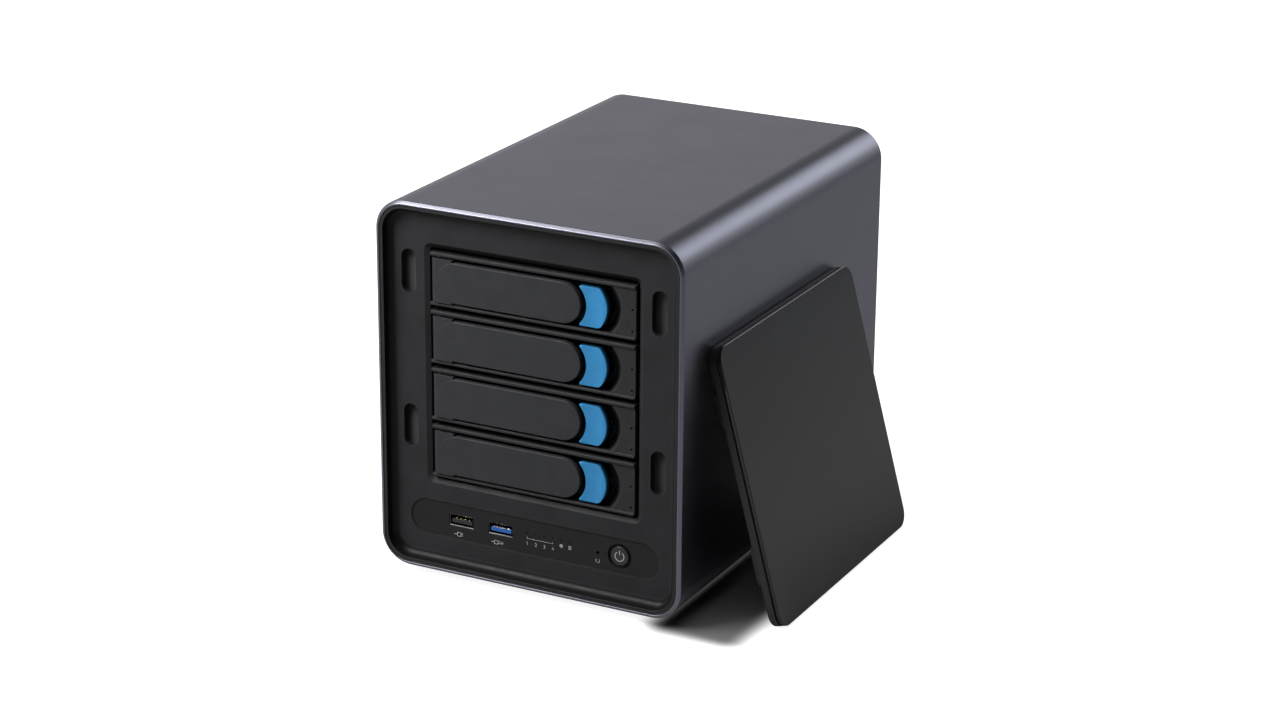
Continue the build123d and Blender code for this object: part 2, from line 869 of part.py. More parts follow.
with BuildPart() as mainboard:
    with BuildSketch(level(mainboard_rise)):
        with Locations((0, board_front)):
            Rectangle(
                mainboard_width, board_back - board_front, align=(Align.CENTER, Align.MIN)
            )
        with Locations(*standoff_places):
            Circle(standoff_screw_radius + 0.1, mode=Mode.SUBTRACT)
    extrude(amount=board_thick)
pieces["mainboard"] = mainboard

with BuildPart() as board_standoffs:
    with BuildSketch(level(chassis_bottom + sheet)):
        with Locations(*standoff_places):
            RegularPolygon(standoff_radius, 6)
    extrude(amount=mainboard_rise - chassis_bottom - sheet)
    with BuildSketch(level(board_top)):
        with Locations(*standoff_places):
            Circle(screw_head_radius)
    extrude(amount=screw_head)
    with BuildSketch(level(mainboard_rise)):
        with Locations(*standoff_places):
            Circle(standoff_screw_radius)
    extrude(amount=board_thick)
pieces["board_standoffs"] = board_standoffs

sink_place = (8.0, 120.0)
sink_size = 52.0
sink_base = 3.0
sink_height = 16.0
fin_pitch = 3.4
fin_count = 15
chip_size = 20.0
chip_thick = 1.2
with BuildPart() as heatsink:
    with BuildSketch(level(board_top)):
        with Locations(sink_place):
            Rectangle(chip_size, chip_size)
    extrude(amount=chip_thick)
    with BuildSketch(level(board_top + chip_thick)):
        with Locations(sink_place):
            Rectangle(sink_size, sink_size)
    extrude(amount=sink_base)
    with BuildSketch(level(board_top + chip_thick + sink_base)):
        with Locations(sink_place):
            with GridLocations(fin_pitch, 1, fin_count, 1):
                Rectangle(sheet, sink_size)
    extrude(amount=sink_height)
pieces["heatsink"] = heatsink

memory_place = (8.0, 76.0)
memory_socket = (72.0, 5.0)
memory_socket_height = 4.0
memory_width = 68.0
memory_height = 22.0
with BuildPart() as memory_module:
    with BuildSketch(level(board_top)):
        with Locations(memory_place):
            Rectangle(*memory_socket)
    extrude(amount=memory_socket_height)
    with BuildSketch(level(board_top + memory_socket_height)):
        with Locations(memory_place):
            Rectangle(memory_width, sheet)
    extrude(amount=memory_height)
pieces["memory_module"] = memory_module

# Each rear port: the middle across, its width and its height
net_ports = ((-40.0, 16.0, 13.5), (-22.0, 16.0, 13.5))
bus_port = (-2.0, 14.4, 15.6)
video_port = (17.0, 15.2, 6.0)
power_jack = (40.0, 10.0, 11.0)
port_end = depth - panel_set_in + 0.2
port_length = 19.0
net_socket_rise = 2.2
net_socket_steps = ((12.0, 8.2), (6.4, 10.0))
net_socket_deep = 13.0
bus_socket_rises = (3.9, 11.7)
bus_socket = (12.6, 5.0)
bus_socket_deep = 11.0
video_socket_rise = 3.0
video_socket = (14.0, 4.6)
video_tongue = (11.5, 1.2)
video_socket_deep = 9.0
all_ports = (*net_ports, bus_port, video_port)

with BuildPart() as rear_ports:
    for across, wide, tall in all_ports:
        with BuildSketch(upright(port_end)):
            with Locations((across, board_top)):
                Rectangle(wide, tall, align=(Align.CENTER, Align.MIN))
        extrude(amount=port_length)
    for across, wide, tall in net_ports:
        with BuildSketch(upright(port_end)):
            with Locations((across, board_top + net_socket_rise)):
                for socket in net_socket_steps:
                    Rectangle(*socket, align=(Align.CENTER, Align.MIN))
        extrude(amount=net_socket_deep, mode=Mode.SUBTRACT)
    for rise in bus_socket_rises:
        with BuildSketch(upright(port_end)):
            with Locations((bus_port[0], board_top + rise)):
                Rectangle(*bus_socket)
            with Locations((bus_port[0], board_top + rise + tongue_raise)):
                Rectangle(tongue_width, tongue_thick, mode=Mode.SUBTRACT)
        extrude(amount=bus_socket_deep, mode=Mode.SUBTRACT)
    with BuildSketch(upright(port_end)):
        with Locations((video_port[0], board_top + video_socket_rise)):
            Rectangle(*video_socket)
            Rectangle(*video_tongue, mode=Mode.SUBTRACT)
    extrude(amount=video_socket_deep, mode=Mode.SUBTRACT)
pieces["rear_ports"] = rear_ports

jack_rise = board_top + power_jack[2] / 2
jack_length = 14.0
jack_bore_radius = 3.2
jack_pin_radius = 1.05
jack_bore_deep = 10.0
with BuildPart() as power_inlet:
    with BuildSketch(upright(port_end)):
        with Locations((power_jack[0], jack_rise)):
            Rectangle(*power_jack[1:])
    extrude(amount=jack_length)
    with BuildSketch(upright(port_end)):
        with Locations((power_jack[0], jack_rise)):
            Circle(jack_bore_radius)
            Circle(jack_pin_radius, mode=Mode.SUBTRACT)
    extrude(amount=jack_bore_deep, mode=Mode.SUBTRACT)
pieces["power_inlet"] = power_inlet


# Rear panel and fan
vent_rise = 38.5
vent_pitch = 6.0
vent_count = 15
vent_length = 9.0
vent_width = 2.6
with BuildPart() as rear_panel:
    with BuildSketch(upright(panel_deep)):
        with Locations((0, height / 2)):
            RectangleRounded(
                width - 2 * outline_inset,
                height - 2 * outline_inset,
                corner_radius - outline_inset,
            )
        with Locations((0, fan_rise)):
            Circle(fan_bore - 0.5, mode=Mode.SUBTRACT)
            with GridLocations(2 * fan_hole_offset, 2 * fan_hole_offset, 2, 2):
                Circle(fan_hole_radius, mode=Mode.SUBTRACT)
        with Locations(*rear_screw_places):
            Circle(screw_radius + fit_gap, mode=Mode.SUBTRACT)
        for across, wide, tall in (*all_ports, power_jack):
            with Locations((across, board_top - fit_gap)):
                Rectangle(
                    wide + 2 * fit_gap,
                    tall + 2 * fit_gap,
                    align=(Align.CENTER, Align.MIN),
                    mode=Mode.SUBTRACT,
                )
        with Locations((0, vent_rise)):
            with GridLocations(vent_pitch, 1, vent_count, 1):
                SlotOverall(vent_length, vent_width, rotation=90, mode=Mode.SUBTRACT)
    extrude(amount=-panel_thick)
pieces["rear_panel"] = rear_panel

panel_back = panel_deep + panel_thick
screw_drive_radius = 1.1
rear_screw_length = 6.0
with BuildPart() as rear_screws:
    with BuildSketch(upright(panel_back)):
        with Locations(*rear_screw_places):
            Circle(screw_head_radius)
            RegularPolygon(screw_drive_radius, 6, mode=Mode.SUBTRACT)
    extrude(amount=-screw_head)
    with BuildSketch(upright(panel_back)):
        with Locations(*rear_screw_places):
            Circle(screw_radius)
    extrude(amount=rear_screw_length)
pieces["rear_screws"] = rear_screws

fan_front = panel_deep - fan_thick
fan_corner_radius = 5.0
motor_plate_radius = 20.0
spoke_length = 39.0
spoke_width = 4.0
spoke_thick = 3.0
shaft_length = 12.0
with BuildPart() as fan_frame:
    with BuildSketch(upright(fan_front)):
        with Locations((0, fan_rise)):
            RectangleRounded(fan_size, fan_size, fan_corner_radius)
            Circle(fan_bore, mode=Mode.SUBTRACT)
            with GridLocations(2 * fan_hole_offset, 2 * fan_hole_offset, 2, 2):
                Circle(fan_hole_radius, mode=Mode.SUBTRACT)
    extrude(amount=-fan_thick)
    with BuildSketch(upright(fan_front)):
        with Locations((0, fan_rise)):
            Circle(motor_plate_radius)
            with PolarLocations(fan_bore - spoke_length / 2 + 1.0, 4, start_angle=45):
                Rectangle(spoke_length, spoke_width)
    extrude(amount=-spoke_thick)
    with BuildSketch(upright(fan_front + spoke_thick)):
        with Locations((0, fan_rise)):
            Circle(shaft_radius)
    extrude(amount=-shaft_length)
pieces["fan_frame"] = fan_frame

rotor_front = fan_front + spoke_thick + 1.0
rotor_length = 19.0
blade_tip = fan_bore - 1.5
hub_radius = 20.5
blade_chord = 24.0
blade_thick = 1.8
blade_pitch_angle = 38
blade_root = hub_radius - 2.0
with BuildPart() as fan_rotor:
    for index in range(blade_count):
        turn = radians(90 + 360 * index / blade_count)
        blade_plane = Plane(
            origin=(case_x, front_y + rotor_front + rotor_length / 2, foot_height + fan_rise),
            x_dir=(0, 1, 0),
            z_dir=(cos(turn), 0, sin(turn)),
        )
        with BuildSketch(blade_plane.offset(blade_root)):
            Rectangle(blade_chord, blade_thick, rotation=blade_pitch_angle)
        extrude(amount=blade_tip - blade_root)
    with BuildSketch(upright(rotor_front)):
        with Locations((0, fan_rise)):
            Circle(blade_tip)
    extrude(amount=-rotor_length, mode=Mode.INTERSECT)
    with BuildSketch(upright(rotor_front)):
        with Locations((0, fan_rise)):
            Circle(hub_radius)
    extrude(amount=-rotor_length)
    with BuildSketch(upright(rotor_front)):
        with Locations((0, fan_rise)):
            Circle(shaft_radius + 0.05)
    extrude(amount=-shaft_length - 1.0, mode=Mode.SUBTRACT)
pieces["fan_rotor"] = fan_rotor

wire = 0.75
guard_thick = 1.0
guard_spoke_width = 2.0
tab_radius = 4.4
ring_deep = panel_back + guard_thick + wire - 0.1
with BuildPart() as fan_guard:
    for ring_radius in (10.0, 20.0, 30.0, 40.0, 50.0):
        with BuildSketch(sideways(0)):
            with Locations((ring_deep, fan_rise + ring_radius)):
                Circle(wire)
        revolve(
            axis=Axis(
                (case_x, front_y, foot_height + fan_rise), (0, 1, 0)
            )
        )
    with BuildSketch(upright(panel_back)):
        with Locations((0, fan_rise)):
            with GridLocations(2 * fan_hole_offset, 2 * fan_hole_offset, 2, 2):
                Circle(tab_radius)
                Circle(fan_hole_radius, mode=Mode.SUBTRACT)
            for turn in (45, 135):
                spoke = 2 * (fan_hole_offset * 2**0.5 - tab_radius) + 0.8
                Rectangle(spoke, guard_spoke_width, rotation=turn)
    extrude(amount=-guard_thick)
pieces["fan_guard"] = fan_guard

fan_screw_head_radius = 3.6
fan_screw_head = 1.3
fan_screw_radius = 2.1
fan_screw_length = 11.0
cross_length = 4.0
cross_width = 0.8
with BuildPart() as fan_screws:
    with BuildSketch(upright(panel_back + guard_thick)):
        with Locations((0, fan_rise)):
            with GridLocations(2 * fan_hole_offset, 2 * fan_hole_offset, 2, 2):
                Circle(fan_screw_head_radius)
                Rectangle(cross_length, cross_width, mode=Mode.SUBTRACT)
                Rectangle(cross_width, cross_length, mode=Mode.SUBTRACT)
    extrude(amount=-fan_screw_head)
    with BuildSketch(upright(panel_back + guard_thick)):
        with Locations((0, fan_rise)):
            with GridLocations(2 * fan_hole_offset, 2 * fan_hole_offset, 2, 2):
                Circle(fan_screw_radius)
    extrude(amount=fan_screw_length)
pieces["fan_screws"] = fan_screws


# Front cover: a glossy skin on a black frame, whose four tabs fit the slots in the front moulding
def cover_plane(outward):
    """A plane along the leaning cover: local x is deep, local y runs up from its lower edge."""
    normal = Vector(cos(lean), 0, sin(lean))
    corner = Vector(
        case_x + cover_foot_across, front_y + cover_middle_deep, cover_foot_height
    )
    return Plane(origin=corner + normal * outward, x_dir=(0, 1, 0), z_dir=normal)


tab_pitch = cover_slot_rises[1] - cover_slot_rises[0]
cover_middle = (0, cover_height / 2)
cover_outward = Axis((0, 0, 0), (cos(lean), 0, sin(lean)))

with BuildPart() as cover_skin:
    with BuildSketch(cover_plane(0)):
        with Locations(cover_middle):
            RectangleRounded(cover_width, cover_height, cover_radius)
    extrude(amount=-skin_thick)
    fillet(cover_skin.faces().sort_by(cover_outward)[-1].edges(), skin_edge_round)
pieces["cover_skin"] = cover_skin

cover_side_rim = 18.0
cover_rim = 8.0
cover_hollow_deep = 2.2
rib_pitch = 38.0
rib_thick = 1.6
with BuildPart() as cover_frame:
    with BuildSketch(cover_plane(-skin_thick)):
        with Locations(cover_middle):
            RectangleRounded(
                cover_width - 2 * groove_inset,
                cover_height - 2 * groove_inset,
                cover_radius - groove_inset,
            )
    extrude(amount=-groove_height)
    with BuildSketch(cover_plane(-skin_thick - groove_height)):
        with Locations(cover_middle):
            RectangleRounded(cover_width, cover_height, cover_radius)
    extrude(amount=-(cover_thick - skin_thick - groove_height))
    fillet(cover_frame.faces().sort_by(cover_outward)[0].edges(), cover_edge_round)
    with BuildSketch(cover_plane(-cover_thick)):
        with Locations(cover_middle):
            RectangleRounded(cover_width - 2 * cover_side_rim, cover_height - 2 * cover_rim, 5.0)
            with GridLocations(rib_pitch, 1, 2, 1):
                Rectangle(rib_thick, cover_height, mode=Mode.SUBTRACT)
            Rectangle(cover_width, rib_thick, mode=Mode.SUBTRACT)
    extrude(amount=cover_hollow_deep, mode=Mode.SUBTRACT)
    with BuildSketch(cover_plane(-cover_thick)):
        with Locations(cover_middle):
            with GridLocations(2 * cover_slot_across, tab_pitch, 2, 2):
                SlotOverall(tab_length, tab_width, rotation=90)
    extrude(amount=-tab_reach)
    with BuildSketch(cover_plane(-cover_thick - tab_reach)):
        with Locations(cover_middle):
            with GridLocations(2 * cover_slot_across, tab_pitch, 2, 2):
                Circle(magnet_radius + magnet_gap)
    extrude(amount=magnet_thick, mode=Mode.SUBTRACT)
pieces["cover_frame"] = cover_frame

with BuildPart() as cover_magnets:
    with BuildSketch(cover_plane(-cover_thick - tab_reach)):
        with Locations(cover_middle):
            with GridLocations(2 * cover_slot_across, tab_pitch, 2, 2):
                Circle(magnet_radius)
    extrude(amount=magnet_thick)
pieces["cover_magnets"] = cover_magnets


os.makedirs("parts", exist_ok=True)
for name, piece in pieces.items():
    piece.part.label = name
    export_step(piece.part, f"parts/{name}.step")
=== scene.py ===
from math import cos, pi, radians, sin

import bmesh
import bpy
from mathutils import Matrix, Vector


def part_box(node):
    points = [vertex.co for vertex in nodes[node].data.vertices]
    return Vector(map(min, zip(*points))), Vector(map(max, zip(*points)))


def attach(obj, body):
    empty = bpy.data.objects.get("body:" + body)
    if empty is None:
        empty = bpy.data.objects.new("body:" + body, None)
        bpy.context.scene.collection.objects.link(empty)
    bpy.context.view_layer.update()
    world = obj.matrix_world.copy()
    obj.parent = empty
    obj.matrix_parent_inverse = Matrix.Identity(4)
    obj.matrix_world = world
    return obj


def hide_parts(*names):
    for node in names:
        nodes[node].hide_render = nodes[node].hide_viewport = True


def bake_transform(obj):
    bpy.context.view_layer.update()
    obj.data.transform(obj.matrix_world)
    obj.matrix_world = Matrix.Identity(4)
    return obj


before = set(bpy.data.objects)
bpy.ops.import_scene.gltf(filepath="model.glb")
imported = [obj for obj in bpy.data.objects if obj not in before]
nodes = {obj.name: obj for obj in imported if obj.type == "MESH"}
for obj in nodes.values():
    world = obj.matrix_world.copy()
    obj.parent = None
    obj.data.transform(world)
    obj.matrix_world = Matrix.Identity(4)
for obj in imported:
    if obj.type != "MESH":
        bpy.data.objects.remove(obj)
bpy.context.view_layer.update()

# A four-bay drive enclosure with its glossy front cover leaning on its right side.
# Lengths in this file are millimetres until they reach Blender, where they are metres.
# across is measured from the middle of the case, deep from its front edge towards the back, and
# rise from the underside of its metal sleeve.
MM = 0.001
case_low, case_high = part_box("shell")
case_middle = (case_low.x + case_high.x) / 2
width = (case_high.x - case_low.x) / MM
depth = (case_high.y - case_low.y) / MM
height = (case_high.z - case_low.z) / MM

# The sleeve.
corner_radius = 15.5
wall = 2.0
front_bevel = 1.4
back_bevel = 0.6

# The front moulding: how deep its faces are, its control strip and its cover slots.
lip_deep = 0.4
face_deep = 6.0
strip_floor = 6.5
slot_floor = 9.6
channel_floor = 5.8
strip_rise = 25.3
strip_length = 135.0
strip_height = 18.4
strip_end_radius = 8.6
strip_zone_top = 36.0
slot_inner_across = 61.0
# Depths into the cover slots past which painted shade darkens the moulding.
slot_shade_depths = (10.6, 12.0)

# The front ports and the trays, and the depths past which painted shade darkens the trays, latches and port
# metal.
port_acrosses = {"left": -39.6, "right": -18.0}
port_shade_depths = (6.5, 6.9)
tongue_middle = 25.4
tongue_half_thick = 0.95
tray_numbers = (1, 2, 3, 4)
tray_shade_depths = (6.4, 8.4)
latch_shade_depths = (5.3, 6.5)


def place(across, deep, rise):
    """A point of the case, in the row's frame and in metres."""
    return Vector((case_middle + across * MM, case_low.y + deep * MM, case_low.z + rise * MM))


# ---------------------------------------------------------------- materials
class Surface:
    """A procedural material: one Principled shader, and the textures that vary it."""

    def __init__(self, name, roughness, metallic=0.0, specular=0.5):
        self.material = bpy.data.materials.new(name)
        self.material.use_nodes = True
        self.tree = self.material.node_tree
        self.shader = self.tree.nodes["Principled BSDF"]
        self.shader.inputs["Roughness"].default_value = roughness
        self.shader.inputs["Metallic"].default_value = metallic
        self.shader.inputs["Specular IOR Level"].default_value = specular
        self.position = self.add("ShaderNodeTexCoord").outputs["Object"]
        self.normal = None

    def add(self, kind, **settings):
        node = self.tree.nodes.new(kind)
        for key, value in settings.items():
            setattr(node, key, value)
        return node

    def feed(self, socket, value):
        """Gives a socket either another socket's output or a plain value."""
        if isinstance(value, bpy.types.NodeSocket):
            self.tree.links.new(value, socket)
        else:
            socket.default_value = value

    def maths(self, operation, first, second=0.0):
        node = self.add("ShaderNodeMath", operation=operation)
        self.feed(node.inputs[0], first)
        self.feed(node.inputs[1], second)
        return node.outputs[0]

    def ramp(self, value, start, end, low=0.0, high=1.0):
        """Turns start..end into low..high, smoothly, and holds it outside."""
        node = self.add("ShaderNodeMapRange", interpolation_type="SMOOTHSTEP")
        for socket, given in zip(node.inputs, (value, start, end, low, high)):
            self.feed(socket, given)
        return node.outputs[0]

    def noise(self, size, detail=2.0, stretch=(1.0, 1.0, 1.0)):
        """Soft random spots about this many millimetres across, longer where stretch is small."""
        mapping = self.add("ShaderNodeMapping")
        mapping.inputs["Scale"].default_value = stretch
        self.feed(mapping.inputs["Vector"], self.position)
        node = self.add("ShaderNodeTexNoise")
        self.feed(node.inputs["Vector"], mapping.outputs[0])
        node.inputs["Scale"].default_value = 1 / (size * MM)
        node.inputs["Detail"].default_value = detail
        return node.outputs["Fac"]

    def cells(self, size):
        """Distance to the nearest of the random points about this many millimetres apart."""
        node = self.add("ShaderNodeTexVoronoi", feature="F1")
        self.feed(node.inputs["Vector"], self.position)
        node.inputs["Scale"].default_value = 1 / (size * MM)
        return node.outputs["Distance"]

    def axis(self, letter):
        """How far along X, Y or Z the surface is, in the row's frame and in metres."""
        node = self.add("ShaderNodeSeparateXYZ")
        self.feed(node.inputs[0], self.position)
        return node.outputs[letter]

    def between(self, letter, start, end):
        """0 before start and 1 past end along an axis, given in metres; start may be past end."""
        return self.ramp(self.axis(letter), start, end)

    def both(self, first, *others):
        """The product of masks: 1 only where every one of them is."""
        for other in others:
            first = self.maths("MULTIPLY", first, other)
        return first

    def blend(self, factor, first, second):
        node = self.add("ShaderNodeMix", data_type="RGBA")
        self.feed(node.inputs["Factor"], factor)
        colours = [s for s in node.inputs if s.type == "RGBA"]
        for socket, value in zip(colours, (first, second)):
            self.feed(socket, value if isinstance(value, bpy.types.NodeSocket) else (*value, 1.0))
        return [s for s in node.outputs if s.type == "RGBA"][0]

    def soften_edges(self, radius):
        """Rounds the shading of sharp edges, and returns how near an edge the surface is."""
        bevel = self.add("ShaderNodeBevel", samples=4)
        bevel.inputs["Radius"].default_value = radius * MM
        self.normal = bevel.outputs[0]
        true_normal = self.add("ShaderNodeNewGeometry").outputs["True Normal"]
        dot = self.add("ShaderNodeVectorMath", operation="DOT_PRODUCT")
        self.feed(dot.inputs[0], self.normal)
        self.feed(dot.inputs[1], true_normal)
        return self.ramp(dot.outputs["Value"], 0.995, 0.86)

    def bump(self, pattern, depth, strength=1.0):
        """Raises the surface by depth, in millimetres, where the pattern is light."""
        node = self.add("ShaderNodeBump")
        node.inputs["Distance"].default_value = depth * MM
        node.inputs["Strength"].default_value = strength
        self.feed(node.inputs["Height"], pattern)
        if self.normal is not None:
            self.feed(node.inputs["Normal"], self.normal)
        self.normal = node.outputs[0]

    def colour(self, value):
        self.feed(self.shader.inputs["Base Color"], value)

    def roughness(self, value):
        self.feed(self.shader.inputs["Roughness"], value)

    def finish(self):
        if self.normal is not None:
            self.feed(self.shader.inputs["Normal"], self.normal)
        return self.material


def tinted(colour, factor):
    return tuple(channel * factor for channel in colour)


def pocket_depth(s, start, end):
    """How far into the front the surface is: 0 before start and 1 past end, in deep's millimetres."""
    return s.between("Y", case_low.y + start * MM, case_low.y + end * MM)


def moulded_plastic(name, colour, roughness, grain=0.35, grain_depth=0.012, specular=0.4, edge=0.18,
                    painted_shade_depths=None):
    """Injection-moulded plastic: spark-eroded grain, faint flow marks and slightly polished edges, and
    painted shade deep in the front when depths are given.
    """
    s = Surface(name, roughness, specular=specular)
    near_edge = s.soften_edges(edge)
    clouds = s.noise(9.0, 3.0)
    base = s.blend(s.ramp(clouds, 0.3, 0.7), tinted(colour, 0.94), tinted(colour, 1.06))
    # Painted shade: past the given depths into the front the colour darkens to a fifth, standing for shade
    # deep in hollows.
    if painted_shade_depths:
        base = s.blend(pocket_depth(s, *painted_shade_depths), base, tinted(colour, 0.2))
    worn = s.maths("MULTIPLY", near_edge, s.ramp(s.noise(2.2), 0.35, 0.65, 0.15, 0.6))
    s.colour(s.blend(worn, base, tuple(0.55 * c + 0.022 for c in colour)))
    rough = s.ramp(s.noise(3.0, 4.0), 0.3, 0.7, roughness - 0.02, roughness + 0.03)
    s.roughness(s.maths("SUBTRACT", rough, s.maths("MULTIPLY", near_edge, 0.08)))
    s.bump(s.noise(grain, 2.0), grain_depth)
    return s.finish()


def anodised(name, colour, roughness, grain_depth, metallic=1.0):
    """Bead-blasted, anodised aluminium: a fine even grain, and faint handling marks in its gloss."""
    s = Surface(name, roughness, metallic=metallic)
    clouds = s.ramp(s.noise(38.0, 3.0), 0.25, 0.75)
    specks = s.ramp(s.noise(0.5, 2.0), 0.3, 0.7)
    base = s.blend(clouds, tinted(colour, 0.975), tinted(colour, 1.025))
    s.colour(s.blend(s.maths("MULTIPLY", specks, 0.35), base, tinted(colour, 0.86)))
    s.roughness(s.ramp(s.noise(24.0, 4.0), 0.25, 0.75, roughness - 0.008, roughness + 0.012))
    s.bump(s.noise(0.32, 3.0), grain_depth)
    return s.finish()


def brushed_metal(name, colour, roughness, along=(1.0, 0.04, 1.0), edge=0.12, painted_shade_depths=None):
    """Plated or rolled metal with fine lines along one axis, and painted shade deep in the front when depths
    are given.
    """
    s = Surface(name, roughness, metallic=1.0)
    near_edge = s.soften_edges(edge)
    lines = s.noise(0.25, 3.0, along)
    base = s.blend(s.ramp(lines, 0.3, 0.7), tinted(colour, 0.86), tinted(colour, 1.08))
    # Painted shade: past the given depths into the front the colour darkens to a fifth.
    if painted_shade_depths:
        base = s.blend(pocket_depth(s, *painted_shade_depths), base, tinted(colour, 0.2))
    s.colour(s.blend(s.maths("MULTIPLY", near_edge, 0.5), base, tinted(colour, 1.25)))
    s.roughness(s.ramp(s.noise(4.0, 3.0), 0.3, 0.7, roughness - 0.05, roughness + 0.08))
    s.bump(lines, 0.004)
    return s.finish()


def circuit_board(name):
    """Solder mask over copper tracks, with plated holes."""
    s = Surface(name, 0.35, specular=0.5)
    mask, track, pad = (0.008, 0.05, 0.026), (0.014, 0.1, 0.05), (0.62, 0.45, 0.16)
    bricks = s.add("ShaderNodeTexBrick")
    s.feed(bricks.inputs["Vector"], s.position)
    bricks.inputs["Scale"].default_value = 260.0
    bricks.inputs["Mortar Size"].default_value = 0.012
    tracks = s.maths("SUBTRACT", 1.0, bricks.outputs["Fac"])
    holes = s.ramp(s.cells(3.1), 0.16, 0.12)
    body = s.blend(s.maths("MULTIPLY", tracks, s.ramp(s.noise(8.0), 0.42, 0.55)), mask, track)
    s.colour(s.blend(holes, body, pad))
    s.roughness(s.ramp(s.noise(5.0), 0.3, 0.7, 0.28, 0.42))
    s.bump(s.maths("ADD", tracks, holes), 0.03)
    return s.finish()


def bezel_plastic():
    """The front moulding: matte round the bays, a smoother control strip and a smoother fillet round the
    recess; painted shade darkens the fillet, faces that look down and the deep parts of the cover slots, and
    painted light lightens the cover slots' floors.
    """
    s = Surface("bezel_plastic", 0.5, specular=0.11)
    near_edge = s.soften_edges(0.22)
    below_bays = s.between("Z", case_low.z + (strip_zone_top + 0.5) * MM, case_low.z + strip_zone_top * MM)
    in_strip = s.both(pocket_depth(s, strip_floor - 0.2, strip_floor - 0.1), below_bays)
    clouds = s.ramp(s.noise(14.0, 3.0), 0.3, 0.7)
    matte = s.blend(clouds, (0.0192, 0.0197, 0.0208), (0.023, 0.0235, 0.0249))
    smooth = s.blend(clouds, (0.0135, 0.014, 0.0147), (0.0155, 0.016, 0.0168))
    surface = s.blend(in_strip, matte, smooth)
    # Painted shade: deep in the cover slots the colour darkens.
    base = s.blend(pocket_depth(s, *slot_shade_depths), surface, (0.007, 0.007, 0.0075))
    # Painted light: the floors of the cover slots are painted lighter.
    from_middle = s.maths("ABSOLUTE", s.maths("SUBTRACT", s.axis("X"), case_middle))
    beside_bays = s.ramp(from_middle, slot_inner_across * MM, (slot_inner_across + 0.2) * MM)
    painted_light_slot_floor = s.both(beside_bays, pocket_depth(s, slot_floor, slot_floor + 0.1))
    base = s.blend(painted_light_slot_floor, base, (0.05, 0.051, 0.053))
    # Painted shade: the fillet round the recess is painted darker; it is also smoother.
    before_face = pocket_depth(s, face_deep - 0.02, face_deep - 0.4)
    fillet_gloss_and_shade = s.both(before_face, pocket_depth(s, lip_deep + 0.1, lip_deep + 0.5))
    painted_shade_colour = (0.005, 0.005, 0.0053)
    base = s.blend(fillet_gloss_and_shade, base, painted_shade_colour)
    # Painted shade: faces that look down are painted darker.
    direction = s.add("ShaderNodeSeparateXYZ")
    s.feed(direction.inputs[0], s.add("ShaderNodeNewGeometry").outputs["True Normal"])
    facing_down_painted_shade = s.ramp(direction.outputs["Z"], -0.2, -0.5)
    base = s.blend(facing_down_painted_shade, base, painted_shade_colour)
    worn = s.maths("MULTIPLY", near_edge, s.ramp(s.noise(2.5), 0.35, 0.65, 0.1, 0.5))
    s.colour(s.blend(worn, base, (0.035, 0.035, 0.036)))
    rough = s.ramp(s.noise(4.0, 4.0), 0.3, 0.7, 0.47, 0.56)
    smoother = s.maths("ADD", s.maths("MULTIPLY", in_strip, 0.1), s.maths("MULTIPLY", fillet_gloss_and_shade, 0.14))
    s.roughness(s.maths("SUBTRACT", rough, smoother))
    grain = s.maths("MULTIPLY", s.noise(0.38, 2.0), s.ramp(in_strip, 0.0, 1.0, 1.0, 0.35))
    s.bump(grain, 0.014)
    return s.finish()


def gloss_black():
    """Polished cover skin: very slight waviness, fine dust and wiped smudges in its gloss."""
    s = Surface("cover_gloss", 0.08, specular=0.36)
    s.shader.inputs["Coat Weight"].default_value = 0.1
    s.shader.inputs["Coat Roughness"].default_value = 0.03
    dust = s.maths("MULTIPLY", s.ramp(s.noise(0.45, 1.0), 0.7, 0.78), s.ramp(s.noise(30.0), 0.4, 0.7))
    base = s.blend(s.ramp(s.noise(25.0), 0.3, 0.7), (0.0065, 0.0065, 0.007), (0.0095, 0.0095, 0.01))
    s.colour(s.blend(s.maths("MULTIPLY", dust, 0.3), base, (0.05, 0.05, 0.05)))
    s.roughness(s.ramp(s.noise(16.0, 5.0, (1.0, 2.0, 0.6)), 0.35, 0.75, 0.07, 0.15))
    s.bump(s.noise(7.0, 1.0), 0.006)
    return s.finish()


def rubber():
    """The feet: dull rubber, a little paler at its worn edges."""
    s = Surface("foot_rubber", 0.85, specular=0.3)
    near_edge = s.soften_edges(0.3)
    base = s.blend(s.ramp(s.noise(3.0, 4.0), 0.3, 0.7), (0.014, 0.014, 0.014), (0.026, 0.026, 0.025))
    s.colour(s.blend(s.maths("MULTIPLY", near_edge, 0.4), base, (0.05, 0.05, 0.048)))
    s.roughness(s.ramp(s.noise(1.5), 0.3, 0.7, 0.78, 0.92))
    s.bump(s.noise(0.4, 3.0), 0.03)
    return s.finish()


def clear_plastic():
    """The lamps' light pipe, which is dark while no lamp is lit."""
    s = Surface("light_pipe", 0.25, specular=0.2)
    s.colour(s.blend(s.ramp(s.noise(1.0), 0.3, 0.7), (0.001, 0.001, 0.001), (0.002, 0.002, 0.0022)))
    s.roughness(s.ramp(s.noise(0.6), 0.3, 0.7, 0.2, 0.34))
    s.bump(s.noise(0.3), 0.01)
    return s.finish()


